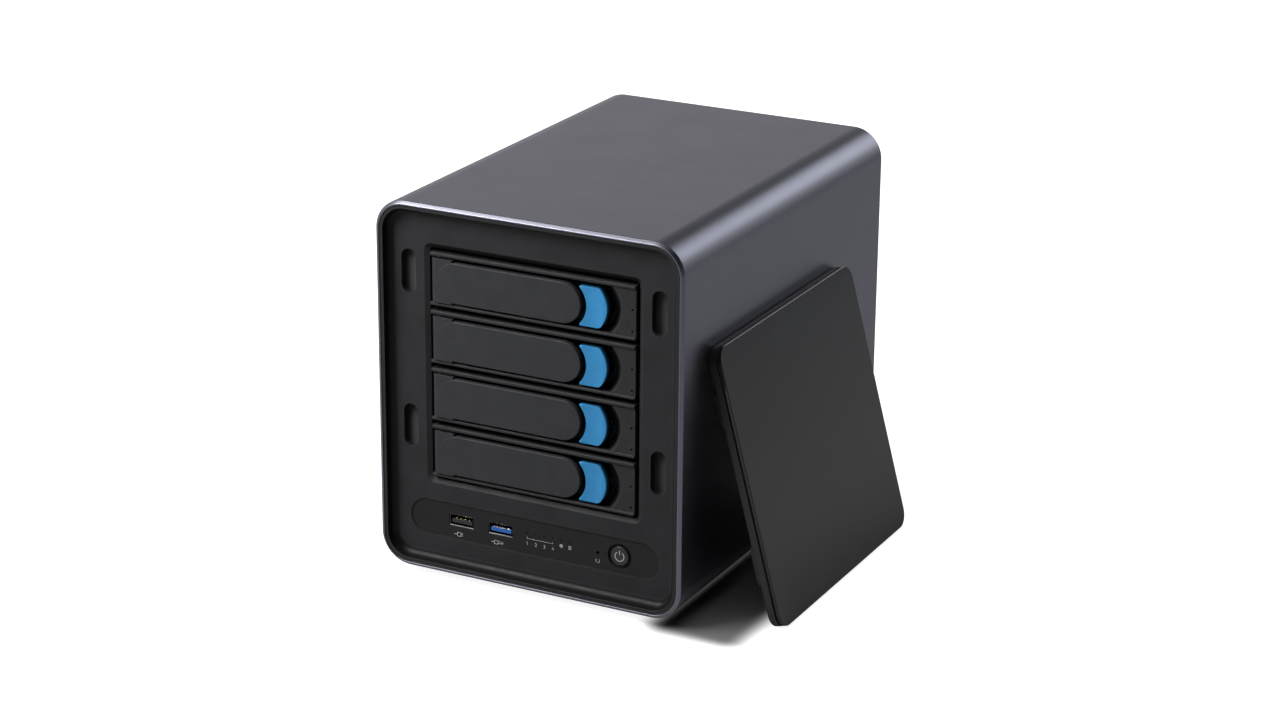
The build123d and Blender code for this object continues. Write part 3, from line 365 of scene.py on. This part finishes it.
def socket_metal(rim):
    """A rear port block: plated metal at its face with a painted highlight on its edges, and black insulator
    inside its sockets.
    """
    s = Surface("rear_port_block", 0.3, metallic=1.0)
    near_edge = s.soften_edges(0.12)
    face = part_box("rear_ports")[1].y
    inside = s.between("Y", face - rim * MM, face - 1.3 * rim * MM)
    plate = s.blend(s.ramp(s.noise(0.3, 3.0, (1, 1, 0.05)), 0.3, 0.7), (0.5, 0.5, 0.5), (0.64, 0.64, 0.63))
    # Painted highlight: the plate is painted lighter near its edges.
    lit = s.blend(s.maths("MULTIPLY", near_edge, 0.4), plate, (0.8, 0.8, 0.79))
    s.colour(s.blend(inside, lit, (0.012, 0.012, 0.012)))
    s.feed(s.shader.inputs["Metallic"], s.ramp(inside, 0.0, 1.0, 1.0, 0.0))
    s.roughness(s.ramp(s.noise(3.0), 0.3, 0.7, 0.25, 0.4))
    s.bump(s.noise(0.5), 0.006)
    return s.finish()


def print_ink(name, colour):
    """Pad-printed marks: thin ink with slightly broken edges."""
    s = Surface(name, 0.55, specular=0.3)
    s.colour(s.blend(s.ramp(s.noise(0.35, 3.0), 0.35, 0.65), tinted(colour, 0.8), tinted(colour, 1.2)))
    s.roughness(s.ramp(s.noise(0.8), 0.3, 0.7, 0.5, 0.62))
    s.bump(s.noise(0.3), 0.004)
    return s.finish()


paints = {
    "anodised_metal": anodised("anodised_metal", (0.165, 0.165, 0.198), 0.36, 0.006),
    "cut_edge": anodised("cut_edge", (0.5, 0.555, 0.65), 0.34, 0.002, 0.25),
    "bezel": bezel_plastic(),
    "tray": moulded_plastic(
        "tray_plastic", (0.0235, 0.024, 0.025), 0.46, specular=0.12, painted_shade_depths=tray_shade_depths,
    ),
    "sled": moulded_plastic("sled_plastic", (0.0095, 0.0095, 0.0098), 0.46, specular=0.22),
    "lever": moulded_plastic("lever_plastic", (0.029, 0.0295, 0.0325), 0.42, 0.3, 0.006, 0.12, 0.25),
    "latch": moulded_plastic("latch_blue", (0.032, 0.205, 0.43), 0.4, 0.5, 0.006, 0.25, 0.2, latch_shade_depths),
    "cover_gloss": gloss_black(),
    "cover_frame": moulded_plastic("cover_frame", (0.013, 0.013, 0.0135), 0.4, 0.4, 0.01, 0.36),
    "button": moulded_plastic("button_plastic", (0.0145, 0.0145, 0.015), 0.36, 0.3, 0.004, 0.4),
    "rubber": rubber(),
    "insulator": moulded_plastic("port_insulator", (0.010, 0.010, 0.0105), 0.35, 0.3, 0.003, 0.4),
    "blue_insulator": moulded_plastic("port_insulator_blue", (0.015, 0.09, 0.33), 0.35, 0.3, 0.003, 0.4),
    "port_metal": brushed_metal("port_metal", (0.13, 0.13, 0.128), 0.42, painted_shade_depths=port_shade_depths),
    "contact": brushed_metal("contact_gold", (0.85, 0.66, 0.34), 0.24),
    "steel": brushed_metal("zinc_steel", (0.5, 0.51, 0.52), 0.4, (1.0, 0.05, 1.0)),
    "screw": brushed_metal("screw_steel", (0.2, 0.2, 0.205), 0.36, (1.0, 1.0, 1.0)),
    "magnet": brushed_metal("magnet_nickel", (0.62, 0.61, 0.58), 0.22, (1.0, 1.0, 1.0)),
    "bare_aluminium": brushed_metal("bare_aluminium", (0.62, 0.63, 0.64), 0.36),
    "board": circuit_board("circuit_board"),
    "clear": clear_plastic(),
    "nylon": moulded_plastic("guide_nylon", (0.42, 0.41, 0.38), 0.45, 0.6, 0.01),
    "rear_metal": moulded_plastic("rear_powder_coat", (0.017, 0.017, 0.018), 0.55, 0.28, 0.02, 0.4),
    "fan": moulded_plastic("fan_plastic", (0.014, 0.014, 0.0145), 0.42, 0.6, 0.006),
    "rear_ports": socket_metal(0.25),
    "ink": print_ink("print_ink", (0.47, 0.47, 0.475)),
    # Dark ink prints the tray marks and also draws the painted shadow lines.
    "dark_print_and_painted_shade": print_ink("print_ink_dark_and_painted_shade", (0.006, 0.006, 0.006)),
}

node_paints = {
    "feet": "rubber", "front_bezel": "bezel", "slot_magnets": "magnet", "front_port_shells": "port_metal",
    "front_port_tongue_left": "insulator", "front_port_tongue_right": "blue_insulator",
    "front_port_board": "board", "light_pipes": "clear", "panel_switches": "insulator",
    "chassis_left_plate": "steel", "chassis_right_plate": "steel", "chassis_base_plate": "steel",
    "cage_floor_plate": "steel", "cage_roof_plate": "steel", "tray_guides": "nylon",
    "bezel_screws": "screw", "backplane": "board", "drive_connectors": "insulator", "riser_board": "board",
    "mainboard": "board", "board_standoffs": "screw", "heatsink": "bare_aluminium",
    "memory_module": "board", "rear_ports": "rear_ports", "power_inlet": "insulator",
    "rear_panel": "rear_metal", "rear_screws": "screw", "fan_frame": "fan", "fan_rotor": "fan",
    "fan_guard": "screw", "fan_screws": "screw", "power_button": "button", "cover_skin": "cover_gloss",
    "cover_frame": "cover_frame", "cover_magnets": "magnet",
}
tray_paints = {
    "bezel": "tray", "sled": "sled", "hinge_pin": "screw", "latch_spring": "screw",
    "lever": "lever", "latch": "latch",
}
for number in tray_numbers:
    for part, paint in tray_paints.items():
        node_paints[f"tray_{number}_{part}"] = paint


def paint_over(piece, *names):
    """Gives the piece these paints, in the order of its faces' material numbers."""
    piece.data.materials.clear()
    for name in names:
        piece.data.materials.append(paints[name])


for node, paint in node_paints.items():
    paint_over(nodes[node], paint)


# ---------------------------------------------------------------- making pieces
def mesh_piece(name, body, build, *names):
    """A new piece, on a body if one is named: build fills its bmesh, and names are its paints."""
    mesh = bpy.data.meshes.new(name)
    shape = bmesh.new()
    build(shape)
    bmesh.ops.recalc_face_normals(shape, faces=shape.faces)
    shape.to_mesh(mesh)
    shape.free()
    piece = bpy.data.objects.new(name, mesh)
    bpy.context.scene.collection.objects.link(piece)
    paint_over(piece, *names)
    if body:
        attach(piece, body)
    return piece


def apply_modifiers(piece):
    """Replaces the piece's mesh with what its modifiers make of it."""
    bpy.context.view_layer.update()
    seen = piece.evaluated_get(bpy.context.evaluated_depsgraph_get())
    finished = bpy.data.meshes.new_from_object(seen)
    piece.modifiers.clear()
    piece.data = finished


def round_edges(piece, radius, segments=2, angle=30):
    """Small real radii on the piece's edges, with flat faces kept flat."""
    bevel = piece.modifiers.new("edge", "BEVEL")
    bevel.width = radius * MM
    bevel.segments = segments
    bevel.limit_method = "ANGLE"
    bevel.angle_limit = radians(angle)
    piece.data.shade_smooth()
    weighted = piece.modifiers.new("shade", "WEIGHTED_NORMAL")
    weighted.keep_sharp = False
    apply_modifiers(piece)


def rounded_outline(wide, tall, radius, steps):
    """Across and rise of a rounded rectangle's points, about its own middle, anticlockwise."""
    points = []
    corners = ((1, 1), (-1, 1), (-1, -1), (1, -1))
    for index, (side, end) in enumerate(corners):
        for step in range(steps + 1):
            turn = pi / 2 * (index + step / steps)
            across = side * (wide / 2 - radius) + radius * cos(turn)
            rise = end * (tall / 2 - radius) + radius * sin(turn)
            points.append((across, rise))
    return points


def bridge(shape, ring, following):
    """Joins two closed rings of as many points, and returns the new faces."""
    faces = []
    for i in range(len(ring)):
        j = (i + 1) % len(ring)
        faces.append(shape.faces.new((ring[i], ring[j], following[j], following[i])))
    return faces


def tube(shape, rings):
    """Joins the rings in turn, and closes both ends."""
    for ring, following in zip(rings, rings[1:]):
        bridge(shape, ring, following)
    shape.faces.new(rings[0])
    shape.faces.new(rings[-1])


# ---------------------------------------------------------------- metal sleeve
cut_faces = (0, 1)


def build_sleeve(shape):
    """The tube, whose section starts with the two faces that are cut bright."""
    section = (
        (0.0, front_bevel), (front_bevel, 0.0), (wall, 0.0), (wall, depth), (back_bevel, depth),
        (0.0, depth - back_bevel),
    )
    rings = []
    for inset, deep in section:
        outline = rounded_outline(width - 2 * inset, height - 2 * inset, corner_radius - inset, 28)
        rings.append([shape.verts.new(place(x, deep, height / 2 + z)) for x, z in outline])
    for index, ring in enumerate(rings):
        for face in bridge(shape, ring, rings[(index + 1) % len(rings)]):
            face.material_index = 1 if index in cut_faces else 0


sleeve = mesh_piece("sleeve", "enclosure", build_sleeve, "anodised_metal", "cut_edge")
round_edges(sleeve, 0.25, 3)
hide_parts("shell")


# ---------------------------------------------------------------- port contacts
def contact_strip(shape, points, across, wide, thick):
    """A bent metal strip: points are deep and rise along it, and it is wide across."""
    rings = []
    for deep, rise in points:
        corners = ((-wide / 2, 0), (wide / 2, 0), (wide / 2, thick), (-wide / 2, thick))
        rings.append([shape.verts.new(place(across + x, deep, rise + z)) for x, z in corners])
    tube(shape, rings)


def build_bus_contacts(shape, port, long_offsets, short_offsets):
    """A front port's sprung contacts, and short flat ones at the front of a fast port's tongue."""
    middle = port_acrosses[port]
    tongue_front = (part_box(f"front_port_tongue_{port}")[0].y - case_low.y) / MM
    tongue_top = tongue_middle + tongue_half_thick
    for offset in long_offsets:
        bend = [(tongue_front + 0.9, tongue_top + 0.02), (tongue_front + 1.5, tongue_top + 0.42),
                (tongue_front + 2.3, tongue_top + 0.62), (tongue_front + 3.4, tongue_top + 0.4),
                (tongue_front + 7.5, tongue_top + 0.05)]
        contact_strip(shape, bend, middle + offset, 1.0, 0.16)
    for offset in short_offsets:
        flat = [(tongue_front + 0.25, tongue_top + 0.02), (tongue_front + 0.8, tongue_top + 0.02)]
        contact_strip(shape, flat, middle + offset, 0.9, 0.1)


bus_offsets = (-3.5, -1.0, 1.0, 3.5)
fast_offsets = (-4.0, -2.0, 0.0, 2.0, 4.0)
for port, short_offsets in (("left", ()), ("right", fast_offsets)):
    contacts = mesh_piece(
        f"port_contacts_{port}", "enclosure",
        lambda shape: build_bus_contacts(shape, port, bus_offsets, short_offsets), "contact",
    )


def build_network_contacts(shape):
    """Sprung wires in each rear network socket, rising from its floor towards its back."""
    wire_bend = [(221.4, 13.5), (215.0, 16.3), (213.4, 16.8), (210.9, 16.9)]
    wire_count, wire_pitch = 8, 1.02
    for socket_middle in (-40.0, -22.0):
        for index in range(wire_count):
            offset = (index - (wire_count - 1) / 2) * wire_pitch
            contact_strip(shape, wire_bend, socket_middle + offset, 0.42, 0.2)


mesh_piece("network_contacts", "enclosure", build_network_contacts, "contact")


# ---------------------------------------------------------------- fan rotor
rotor_front, rotor_back = 201.0, 220.0
fan_rise = 106.0
hub_radius = 20.5
hub_outline = (
    (2.1, 214.0), (2.1, 201.2), (3.0, rotor_front), (19.4, rotor_front), (hub_radius, 202.0),
    (hub_radius, 217.6), (20.1, 218.9), (18.9, 219.8), (17.4, rotor_back), (16.6, 219.5), (0.0, 219.5),
)
hub_steps = 64
blade_count = 7
blade_tip = 55.3
blade_stations = 12
blade_chord_steps = 8


def around_fan(radius, turn, deep):
    """A point at this radius and turn about the fan's axis."""
    return place(radius * cos(turn), deep, fan_rise + radius * sin(turn))


def build_hub(shape):
    """The hub, turned about the fan's axis and closed to a point at its back."""
    rings = []
    for radius, deep in hub_outline:
        turns = [2 * pi * i / hub_steps for i in range(hub_steps)] if radius else [0.0]
        rings.append([shape.verts.new(around_fan(radius, turn, deep)) for turn in turns])
    *sides, tip = rings
    for ring, following in zip(sides, sides[1:]):
        bridge(shape, ring, following)
    for i in range(hub_steps):
        shape.faces.new((sides[-1][i], sides[-1][(i + 1) % hub_steps], tip[0]))
    shape.faces.new(rings[0])


def blade_section(radius, root_turn):
    """The closed outline of a cambered blade where it crosses a cylinder of this radius."""
    out = (radius - hub_radius) / (blade_tip - hub_radius)
    from_axis = radians(36 + 22 * max(out, 0.0))
    chord = 21.0 + 3.0 * out
    sweep_turn = radians(16) * out * out
    upper, lower = [], []
    for step in range(blade_chord_steps + 1):
        along = step / blade_chord_steps
        camber = 2.4 * sin(pi * along)
        half = 0.28 + 0.62 * sin(pi * along) ** 0.6
        for side, points in ((1, upper), (-1, lower)):
            run = (along - 0.5) * chord
            rise = camber + side * half
            deep = rotor_front + 9.5 + run * cos(from_axis) - rise * sin(from_axis)
            arc_length = run * sin(from_axis) + rise * cos(from_axis)
            points.append((root_turn + sweep_turn + arc_length / radius, deep))
    return upper + lower[::-1]


def build_blades(shape):
    for index in range(blade_count):
        root_turn = pi / 2 + 2 * pi * index / blade_count
        rings = []
        for station in range(blade_stations + 1):
            radius = hub_radius - 1.5 + (blade_tip - hub_radius + 1.5) * station / blade_stations
            section = blade_section(radius, root_turn)
            rings.append([shape.verts.new(around_fan(radius, turn, deep)) for turn, deep in section])
        tube(shape, rings)


def build_rotor(shape):
    build_hub(shape)
    build_blades(shape)


rotor = mesh_piece("rotor", "fan", build_rotor, "fan")
round_edges(rotor, 0.15, 2, 35)
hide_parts("fan_rotor")


# ---------------------------------------------------------------- latch springs
spring_wire = 0.22
spring_pitch = 1.5
coil_steps = 20
wire_steps = 8


def build_spring(shape, low, high):
    """A coil that fills its node's box, wound about an axis that runs across."""
    middle = (low + high) / 2
    coil_radius = (high.z - low.z) / 2 - spring_wire * MM
    start, end = low.x + spring_wire * MM, high.x - spring_wire * MM
    count = round((end - start) / (spring_pitch * MM) * coil_steps)
    along = Vector((1.0, 0.0, 0.0))
    rings = []
    for index in range(count + 1):
        turn = 2 * pi * index / coil_steps
        out = Vector((0.0, cos(turn), sin(turn)))
        on_axis = Vector((start + (end - start) * index / count, middle.y, middle.z))
        ring = []
        for step in range(wire_steps):
            around = 2 * pi * step / wire_steps
            from_wire = (out * cos(around) + along * sin(around)) * spring_wire * MM
            ring.append(shape.verts.new(on_axis + out * coil_radius + from_wire))
        rings.append(ring)
    tube(shape, rings)


for number in tray_numbers:
    spring_node = f"tray_{number}_latch_spring"
    low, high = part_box(spring_node)
    coil = mesh_piece(f"tray_{number}_coil", None, lambda shape: build_spring(shape, low, high), "screw")
    coil.data.shade_smooth()
    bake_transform(coil)
    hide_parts(spring_node)


# ---------------------------------------------------------------- printed marks
def arc(across, rise, radius, start, end, steps=16):
    """Points of a circular arc from start to end degrees, anticlockwise from the right."""
    turns = [radians(start + (end - start) * i / steps) for i in range(steps + 1)]
    return [(across + radius * cos(t), rise + radius * sin(t)) for t in turns]


ink_flatness = 0.12


def printed(name, body, deep, strokes, line, paint="ink"):
    """Marks printed on an upright face: each stroke is a list of (across, rise) points."""
    curve = bpy.data.curves.new(name, "CURVE")
    curve.dimensions = "3D"
    curve.bevel_depth = line / 2 * MM
    curve.bevel_resolution = 1
    curve.use_fill_caps = True
    for points in strokes:
        spline = curve.splines.new("POLY")
        spline.points.add(len(points) - 1)
        for point, (across, rise) in zip(spline.points, points):
            point.co = ((case_middle + across * MM), 0.0, case_low.z + rise * MM, 1.0)
    drawing = bpy.data.objects.new(name, curve)
    bpy.context.scene.collection.objects.link(drawing)
    bpy.context.view_layer.update()
    mesh = bpy.data.meshes.new_from_object(drawing)
    bpy.data.objects.remove(drawing)
    for vertex in mesh.vertices:
        vertex.co.y = vertex.co.y * ink_flatness + case_low.y + deep * MM
    piece = bpy.data.objects.new(name, mesh)
    bpy.context.scene.collection.objects.link(piece)
    paint_over(piece, paint)
    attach(piece, body)


def box_outline(left, low, right, high):
    """The closed stroke of a box."""
    return [(left, low), (right, low), (right, high), (left, high), (left, low)]


def plug_mark(across, rise):
    """A generic plug lying on its side: a body, two prongs and a short lead."""
    left, right, half = across - 0.75, across + 1.1, 0.95
    body = box_outline(left, rise - half, right, rise + half)
    prongs = [[(right, rise + offset), (across + 2.3, rise + offset)] for offset in (-0.5, 0.5)]
    return [body, *prongs, [(left, rise), (across - 2.4, rise)]]


def chevron_marks(across, rise, count):
    """Small arrow heads that say that the port is a fast one."""
    heads = []
    for index in range(count):
        tip = across + index * 0.9
        heads.append([(tip - 0.5, rise + 0.65), (tip, rise), (tip - 0.5, rise - 0.65)])
    return heads


lamps_middle = 8.3
lamp_pitch = 4.64
lamp_count = 6
lamp_acrosses = [lamps_middle + (index - (lamp_count - 1) / 2) * lamp_pitch for index in range(lamp_count)]
first_lamp, last_lamp = lamp_acrosses[0], lamp_acrosses[3]
bracket_rise = 24.4
digit_rise = 21.9
bracket = [
    (first_lamp, strip_rise), (first_lamp, bracket_rise), (last_lamp, bracket_rise), (last_lamp, strip_rise),
]
digit_strokes = {
    1: [[(-0.35, 0.45), (0.05, 0.8), (0.05, -0.8)]],
    2: [arc(0, 0.35, 0.45, 160, -30, 8) + [(-0.45, -0.8), (0.5, -0.8)]],
    3: [arc(0, 0.38, 0.4, 150, -80, 8) + arc(0, -0.4, 0.42, 80, -150, 8)],
    4: [[(0.25, -0.8), (0.25, 0.8), (-0.5, -0.3), (0.55, -0.3)]],
}
lamp_strokes = [bracket]
for number, across in zip(tray_numbers, lamp_acrosses):
    for stroke in digit_strokes[number]:
        lamp_strokes.append([(across + x, digit_rise + z) for x, z in stroke])
network_across, drive_across = lamp_acrosses[4:]
globe_rise, globe_radius = 24.2, 0.75
drive_half, drive_low, drive_high = 0.62, 23.3, 25.0
lamp_strokes += [
    arc(network_across, globe_rise, globe_radius, 0, 360),
    [(network_across - globe_radius, globe_rise), (network_across + globe_radius, globe_rise)],
    [(network_across, globe_rise - globe_radius), (network_across, globe_rise + globe_radius)],
    box_outline(drive_across - drive_half, drive_low, drive_across + drive_half, drive_high),
    arc(drive_across, 24.3, 0.26, 0, 360, 8),
]
printed("lamp_marks", "enclosure", strip_floor, lamp_strokes, 0.27)
printed("port_marks", "enclosure", strip_floor,
        plug_mark(-41.2, 18.9) + plug_mark(-20.6, 19.0) + chevron_marks(-17.4, 19.0, 2), 0.3)
printed("reset_mark", "enclosure", strip_floor, [arc(34.9, 20.7, 1.0, 130, 410)], 0.25)


def painted_shadow_line(name, deep, middle_rise, size, radius, inset, steps, line):
    """A dark printed line of painted shadow, standing for the shade of a gap or step just inside a rounded
    outline of this size.
    """
    outline = rounded_outline(size[0] - 2 * inset, size[1] - 2 * inset, radius - inset, steps)
    points = [(across, middle_rise + rise) for across, rise in outline]
    printed(name, "enclosure", deep, [points + points[:1]], line, "dark_print_and_painted_shade")


strip_size, sleeve_size = (strip_length, strip_height), (width, height)
# Painted shadow: dark printed lines round the control strip and just inside the sleeve's front edge stand
# for the shade of the step and the gap.
painted_shadow_line("strip_painted_shadow", strip_floor, strip_rise, strip_size, strip_end_radius, 0.25, 12, 0.4)
painted_shadow_line("lip_painted_shadow", lip_deep, height / 2, sleeve_size, corner_radius, 2.3, 16, 0.5)

button_front = (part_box("power_button")[0].y - case_low.y) / MM
power_across, power_rise = 46.6, strip_rise
power_strokes = [
    arc(power_across, power_rise - 0.1, 2.35, 125, 415, 40),
    [(power_across, power_rise + 0.6), (power_across, power_rise + 2.9)],
]
printed("power_mark", "power_button", button_front, power_strokes, 0.42)


def tray_middle(number):
    """The rise of the middle of a tray's front."""
    low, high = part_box(f"tray_{number}_bezel")
    return ((low.z + high.z) / 2 - case_low.z) / MM


mark_across = 50.3
upper_mark_offset, lower_mark_offset = 4.9, -5.4
bar_offsets, bar_half = (-0.6, 0.6), 1.1
tray_mark_line = 0.42
for number in tray_numbers:
    upper = tray_middle(number) + upper_mark_offset
    lower = tray_middle(number) + lower_mark_offset
    bars = [[(mark_across + x, lower - bar_half), (mark_across + x, lower + bar_half)] for x in bar_offsets]
    ring = arc(mark_across, upper + 0.4, 0.75, 0, 360, 12)
    tail = [(mark_across, upper - 0.35), (mark_across, upper - 1.3)]
    strokes = [ring, tail, *bars]
    printed(f"tray_{number}_marks", f"tray_{number}", channel_floor, strokes, tray_mark_line, "dark_print_and_painted_shade")


# ---------------------------------------------------------------- stage
def build_floor(shape):
    """A level sheet of faces, which reaches as many metres each way."""
    reach = 14.0
    rows = 8
    for i in range(rows):
        for j in range(rows):
            corners = [(i, j), (i + 1, j), (i + 1, j + 1), (i, j + 1)]
            spots = [(x / rows * 2 * reach - reach, y / rows * 2 * reach - reach, 0.0) for x, y in corners]
            shape.faces.new([shape.verts.new(spot) for spot in spots])
    bmesh.ops.remove_doubles(shape, verts=shape.verts, dist=0.001)


def floor_paint():
    """Pale to the camera and glowing to it, darker where it lights the object, and with a painted shadow
    between case and cover.
    """
    s = Surface("pale_floor", 0.9, specular=0.05)
    cover_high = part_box("cover_skin")[1]
    # Painted shadow: the area between case and cover, where the floor's colour drops to 0.13 and its glow
    # stops.
    painted_shadow_gap = s.both(
        s.between("Y", case_low.y - 12.0 * MM, case_low.y + 6.0 * MM),
        s.between("Y", cover_high.y - 10.0 * MM, cover_high.y - 60.0 * MM),
        s.between("X", case_high.x - 30.0 * MM, case_high.x - 8.0 * MM),
        s.between("X", cover_high.x - 1.0 * MM, cover_high.x - 22.0 * MM),
    )
    open_floor = s.blend(s.noise(400.0, 3.0), (0.5, 0.5, 0.503), (0.54, 0.54, 0.543))
    pale = s.blend(painted_shadow_gap, open_floor, (0.13, 0.13, 0.132))
    # The floor is paler to the camera than to the object, so that black parts stay black.
    path = s.add("ShaderNodeLightPath").outputs
    bounced = s.blend(path["Is Diffuse Ray"], (0.42, 0.42, 0.427), (0.12, 0.12, 0.122))
    s.colour(s.blend(path["Is Camera Ray"], bounced, pale))
    # Painted light: the glow, seen only by the camera, lifts the object's shadows on the floor.
    s.shader.inputs["Emission Color"].default_value = (1.0, 1.0, 1.0, 1.0)
    glow = s.ramp(painted_shadow_gap, 0.0, 1.0, 0.9, 0.0)
    s.feed(s.shader.inputs["Emission Strength"], s.maths("MULTIPLY", path["Is Camera Ray"], glow))
    return s.finish()


floor_mesh = bpy.data.meshes.new("floor")
floor_shape = bmesh.new()
build_floor(floor_shape)
floor_shape.to_mesh(floor_mesh)
floor_shape.free()
floor_mesh.materials.append(floor_paint())
floor = bpy.data.objects.new("floor", floor_mesh)
bpy.context.scene.collection.objects.link(floor)


def world_light():
    """A studio room: bright walls, a dim ceiling with one bright panel, and three dark flags."""
    world = bpy.data.worlds.new("studio")
    bpy.context.scene.world = world
    world.use_nodes = True
    tree = world.node_tree
    coordinates = tree.nodes.new("ShaderNodeTexCoord")

    def ramp(value, start, end, low, high):
        node = tree.nodes.new("ShaderNodeMapRange")
        node.interpolation_type = "SMOOTHSTEP"
        tree.links.new(value, node.inputs["Value"])
        for key, given in (("From Min", start), ("From Max", end), ("To Min", low), ("To Max", high)):
            node.inputs[key].default_value = given
        return node.outputs[0]

    def toward(azimuth, elevation):
        """How nearly a direction points at this part of the room, as a cosine."""
        node = tree.nodes.new("ShaderNodeVectorMath")
        node.operation = "DOT_PRODUCT"
        tree.links.new(coordinates.outputs["Generated"], node.inputs[0])
        turn, lift = radians(azimuth), radians(elevation)
        node.inputs[1].default_value = (sin(turn) * cos(lift), cos(turn) * cos(lift), sin(lift))
        return node.outputs["Value"]

    def times(first, second):
        node = tree.nodes.new("ShaderNodeMath")
        node.operation = "MULTIPLY"
        tree.links.new(first, node.inputs[0])
        tree.links.new(second, node.inputs[1])
        return node.outputs[0]

    height_above = toward(0.0, 90.0)
    room = ramp(height_above, 0.36, 0.52, 0.76, 0.22)
    back_flag = ramp(toward(-8.0, 35.0), 0.9, 0.98, 1.0, 0.45)
    side_flag = ramp(toward(125.0, 5.0), 0.2, 0.85, 1.0, 0.12)
    front_flag = ramp(toward(180.0, 0.0), -0.1, 0.6, 1.0, 0.3)
    panel = ramp(toward(-128.0, 57.0), 0.72, 0.95, 1.0, 3.2)
    background = tree.nodes["Background"]
    background.inputs["Color"].default_value = (0.97, 0.98, 1.0, 1.0)
    strength = times(times(times(room, back_flag), times(side_flag, front_flag)), panel)
    tree.links.new(strength, background.inputs["Strength"])


def soft_light(name, location, target, wide, tall, power, glossy=True, colour=(1, 1, 1)):
    """A softbox that the camera doesn't see; without glossy, no gloss shows it either."""
    light = bpy.data.lights.new(name, "AREA")
    light.shape = "RECTANGLE"
    light.size = wide
    light.size_y = tall
    light.energy = power
    light.color = colour
    lamp = bpy.data.objects.new(name, light)
    lamp.location = location
    lamp.rotation_euler = (Vector(target) - Vector(location)).to_track_quat("-Z", "Y").to_euler()
    lamp.visible_glossy = glossy
    lamp.visible_camera = False
    bpy.context.scene.collection.objects.link(lamp)


world_light()
centre = (0.0, 0.0, 0.1)
soft_light("overhead_softbox", (-0.3, -0.4, 2.2), centre, 2.4, 2.4, 42.0, glossy=False)
soft_light("edge_softbox", (0.68, 1.8, 0.95), centre, 1.15, 0.75, 6.5, colour=(0.9, 0.95, 1.0))
face_centre = (0.0, -0.11, 0.1)
soft_light("key_softbox", (-0.34, -0.46, 0.52), face_centre, 0.36, 0.36, 5.9)


# ---------------------------------------------------------------- camera
# It looks at aim from the right front and from above, with a very slight roll.
azimuth, elevation, roll = radians(27.148), radians(19.566), radians(0.521)
aim = Vector((-0.0035, -0.0312, 0.0997))
distance = 1.5
toward = Vector((-sin(azimuth) * cos(elevation), cos(azimuth) * cos(elevation), -sin(elevation)))
level_side = toward.cross(Vector((0, 0, 1))).normalized()
level_up = level_side.cross(toward)
camera_side = level_side * cos(roll) + level_up * sin(roll)
camera_up = level_up * cos(roll) - level_side * sin(roll)
lens = bpy.data.cameras.new("camera")
lens.lens = 86.49
lens.sensor_width = 36.0
camera = bpy.data.objects.new("camera", lens)
turned = Matrix((camera_side, camera_up, -toward)).transposed().to_4x4()
camera.matrix_world = Matrix.Translation(aim - toward * distance) @ turned
bpy.context.scene.collection.objects.link(camera)
bpy.context.scene.camera = camera
bpy.context.scene.view_settings.view_transform = "Standard"
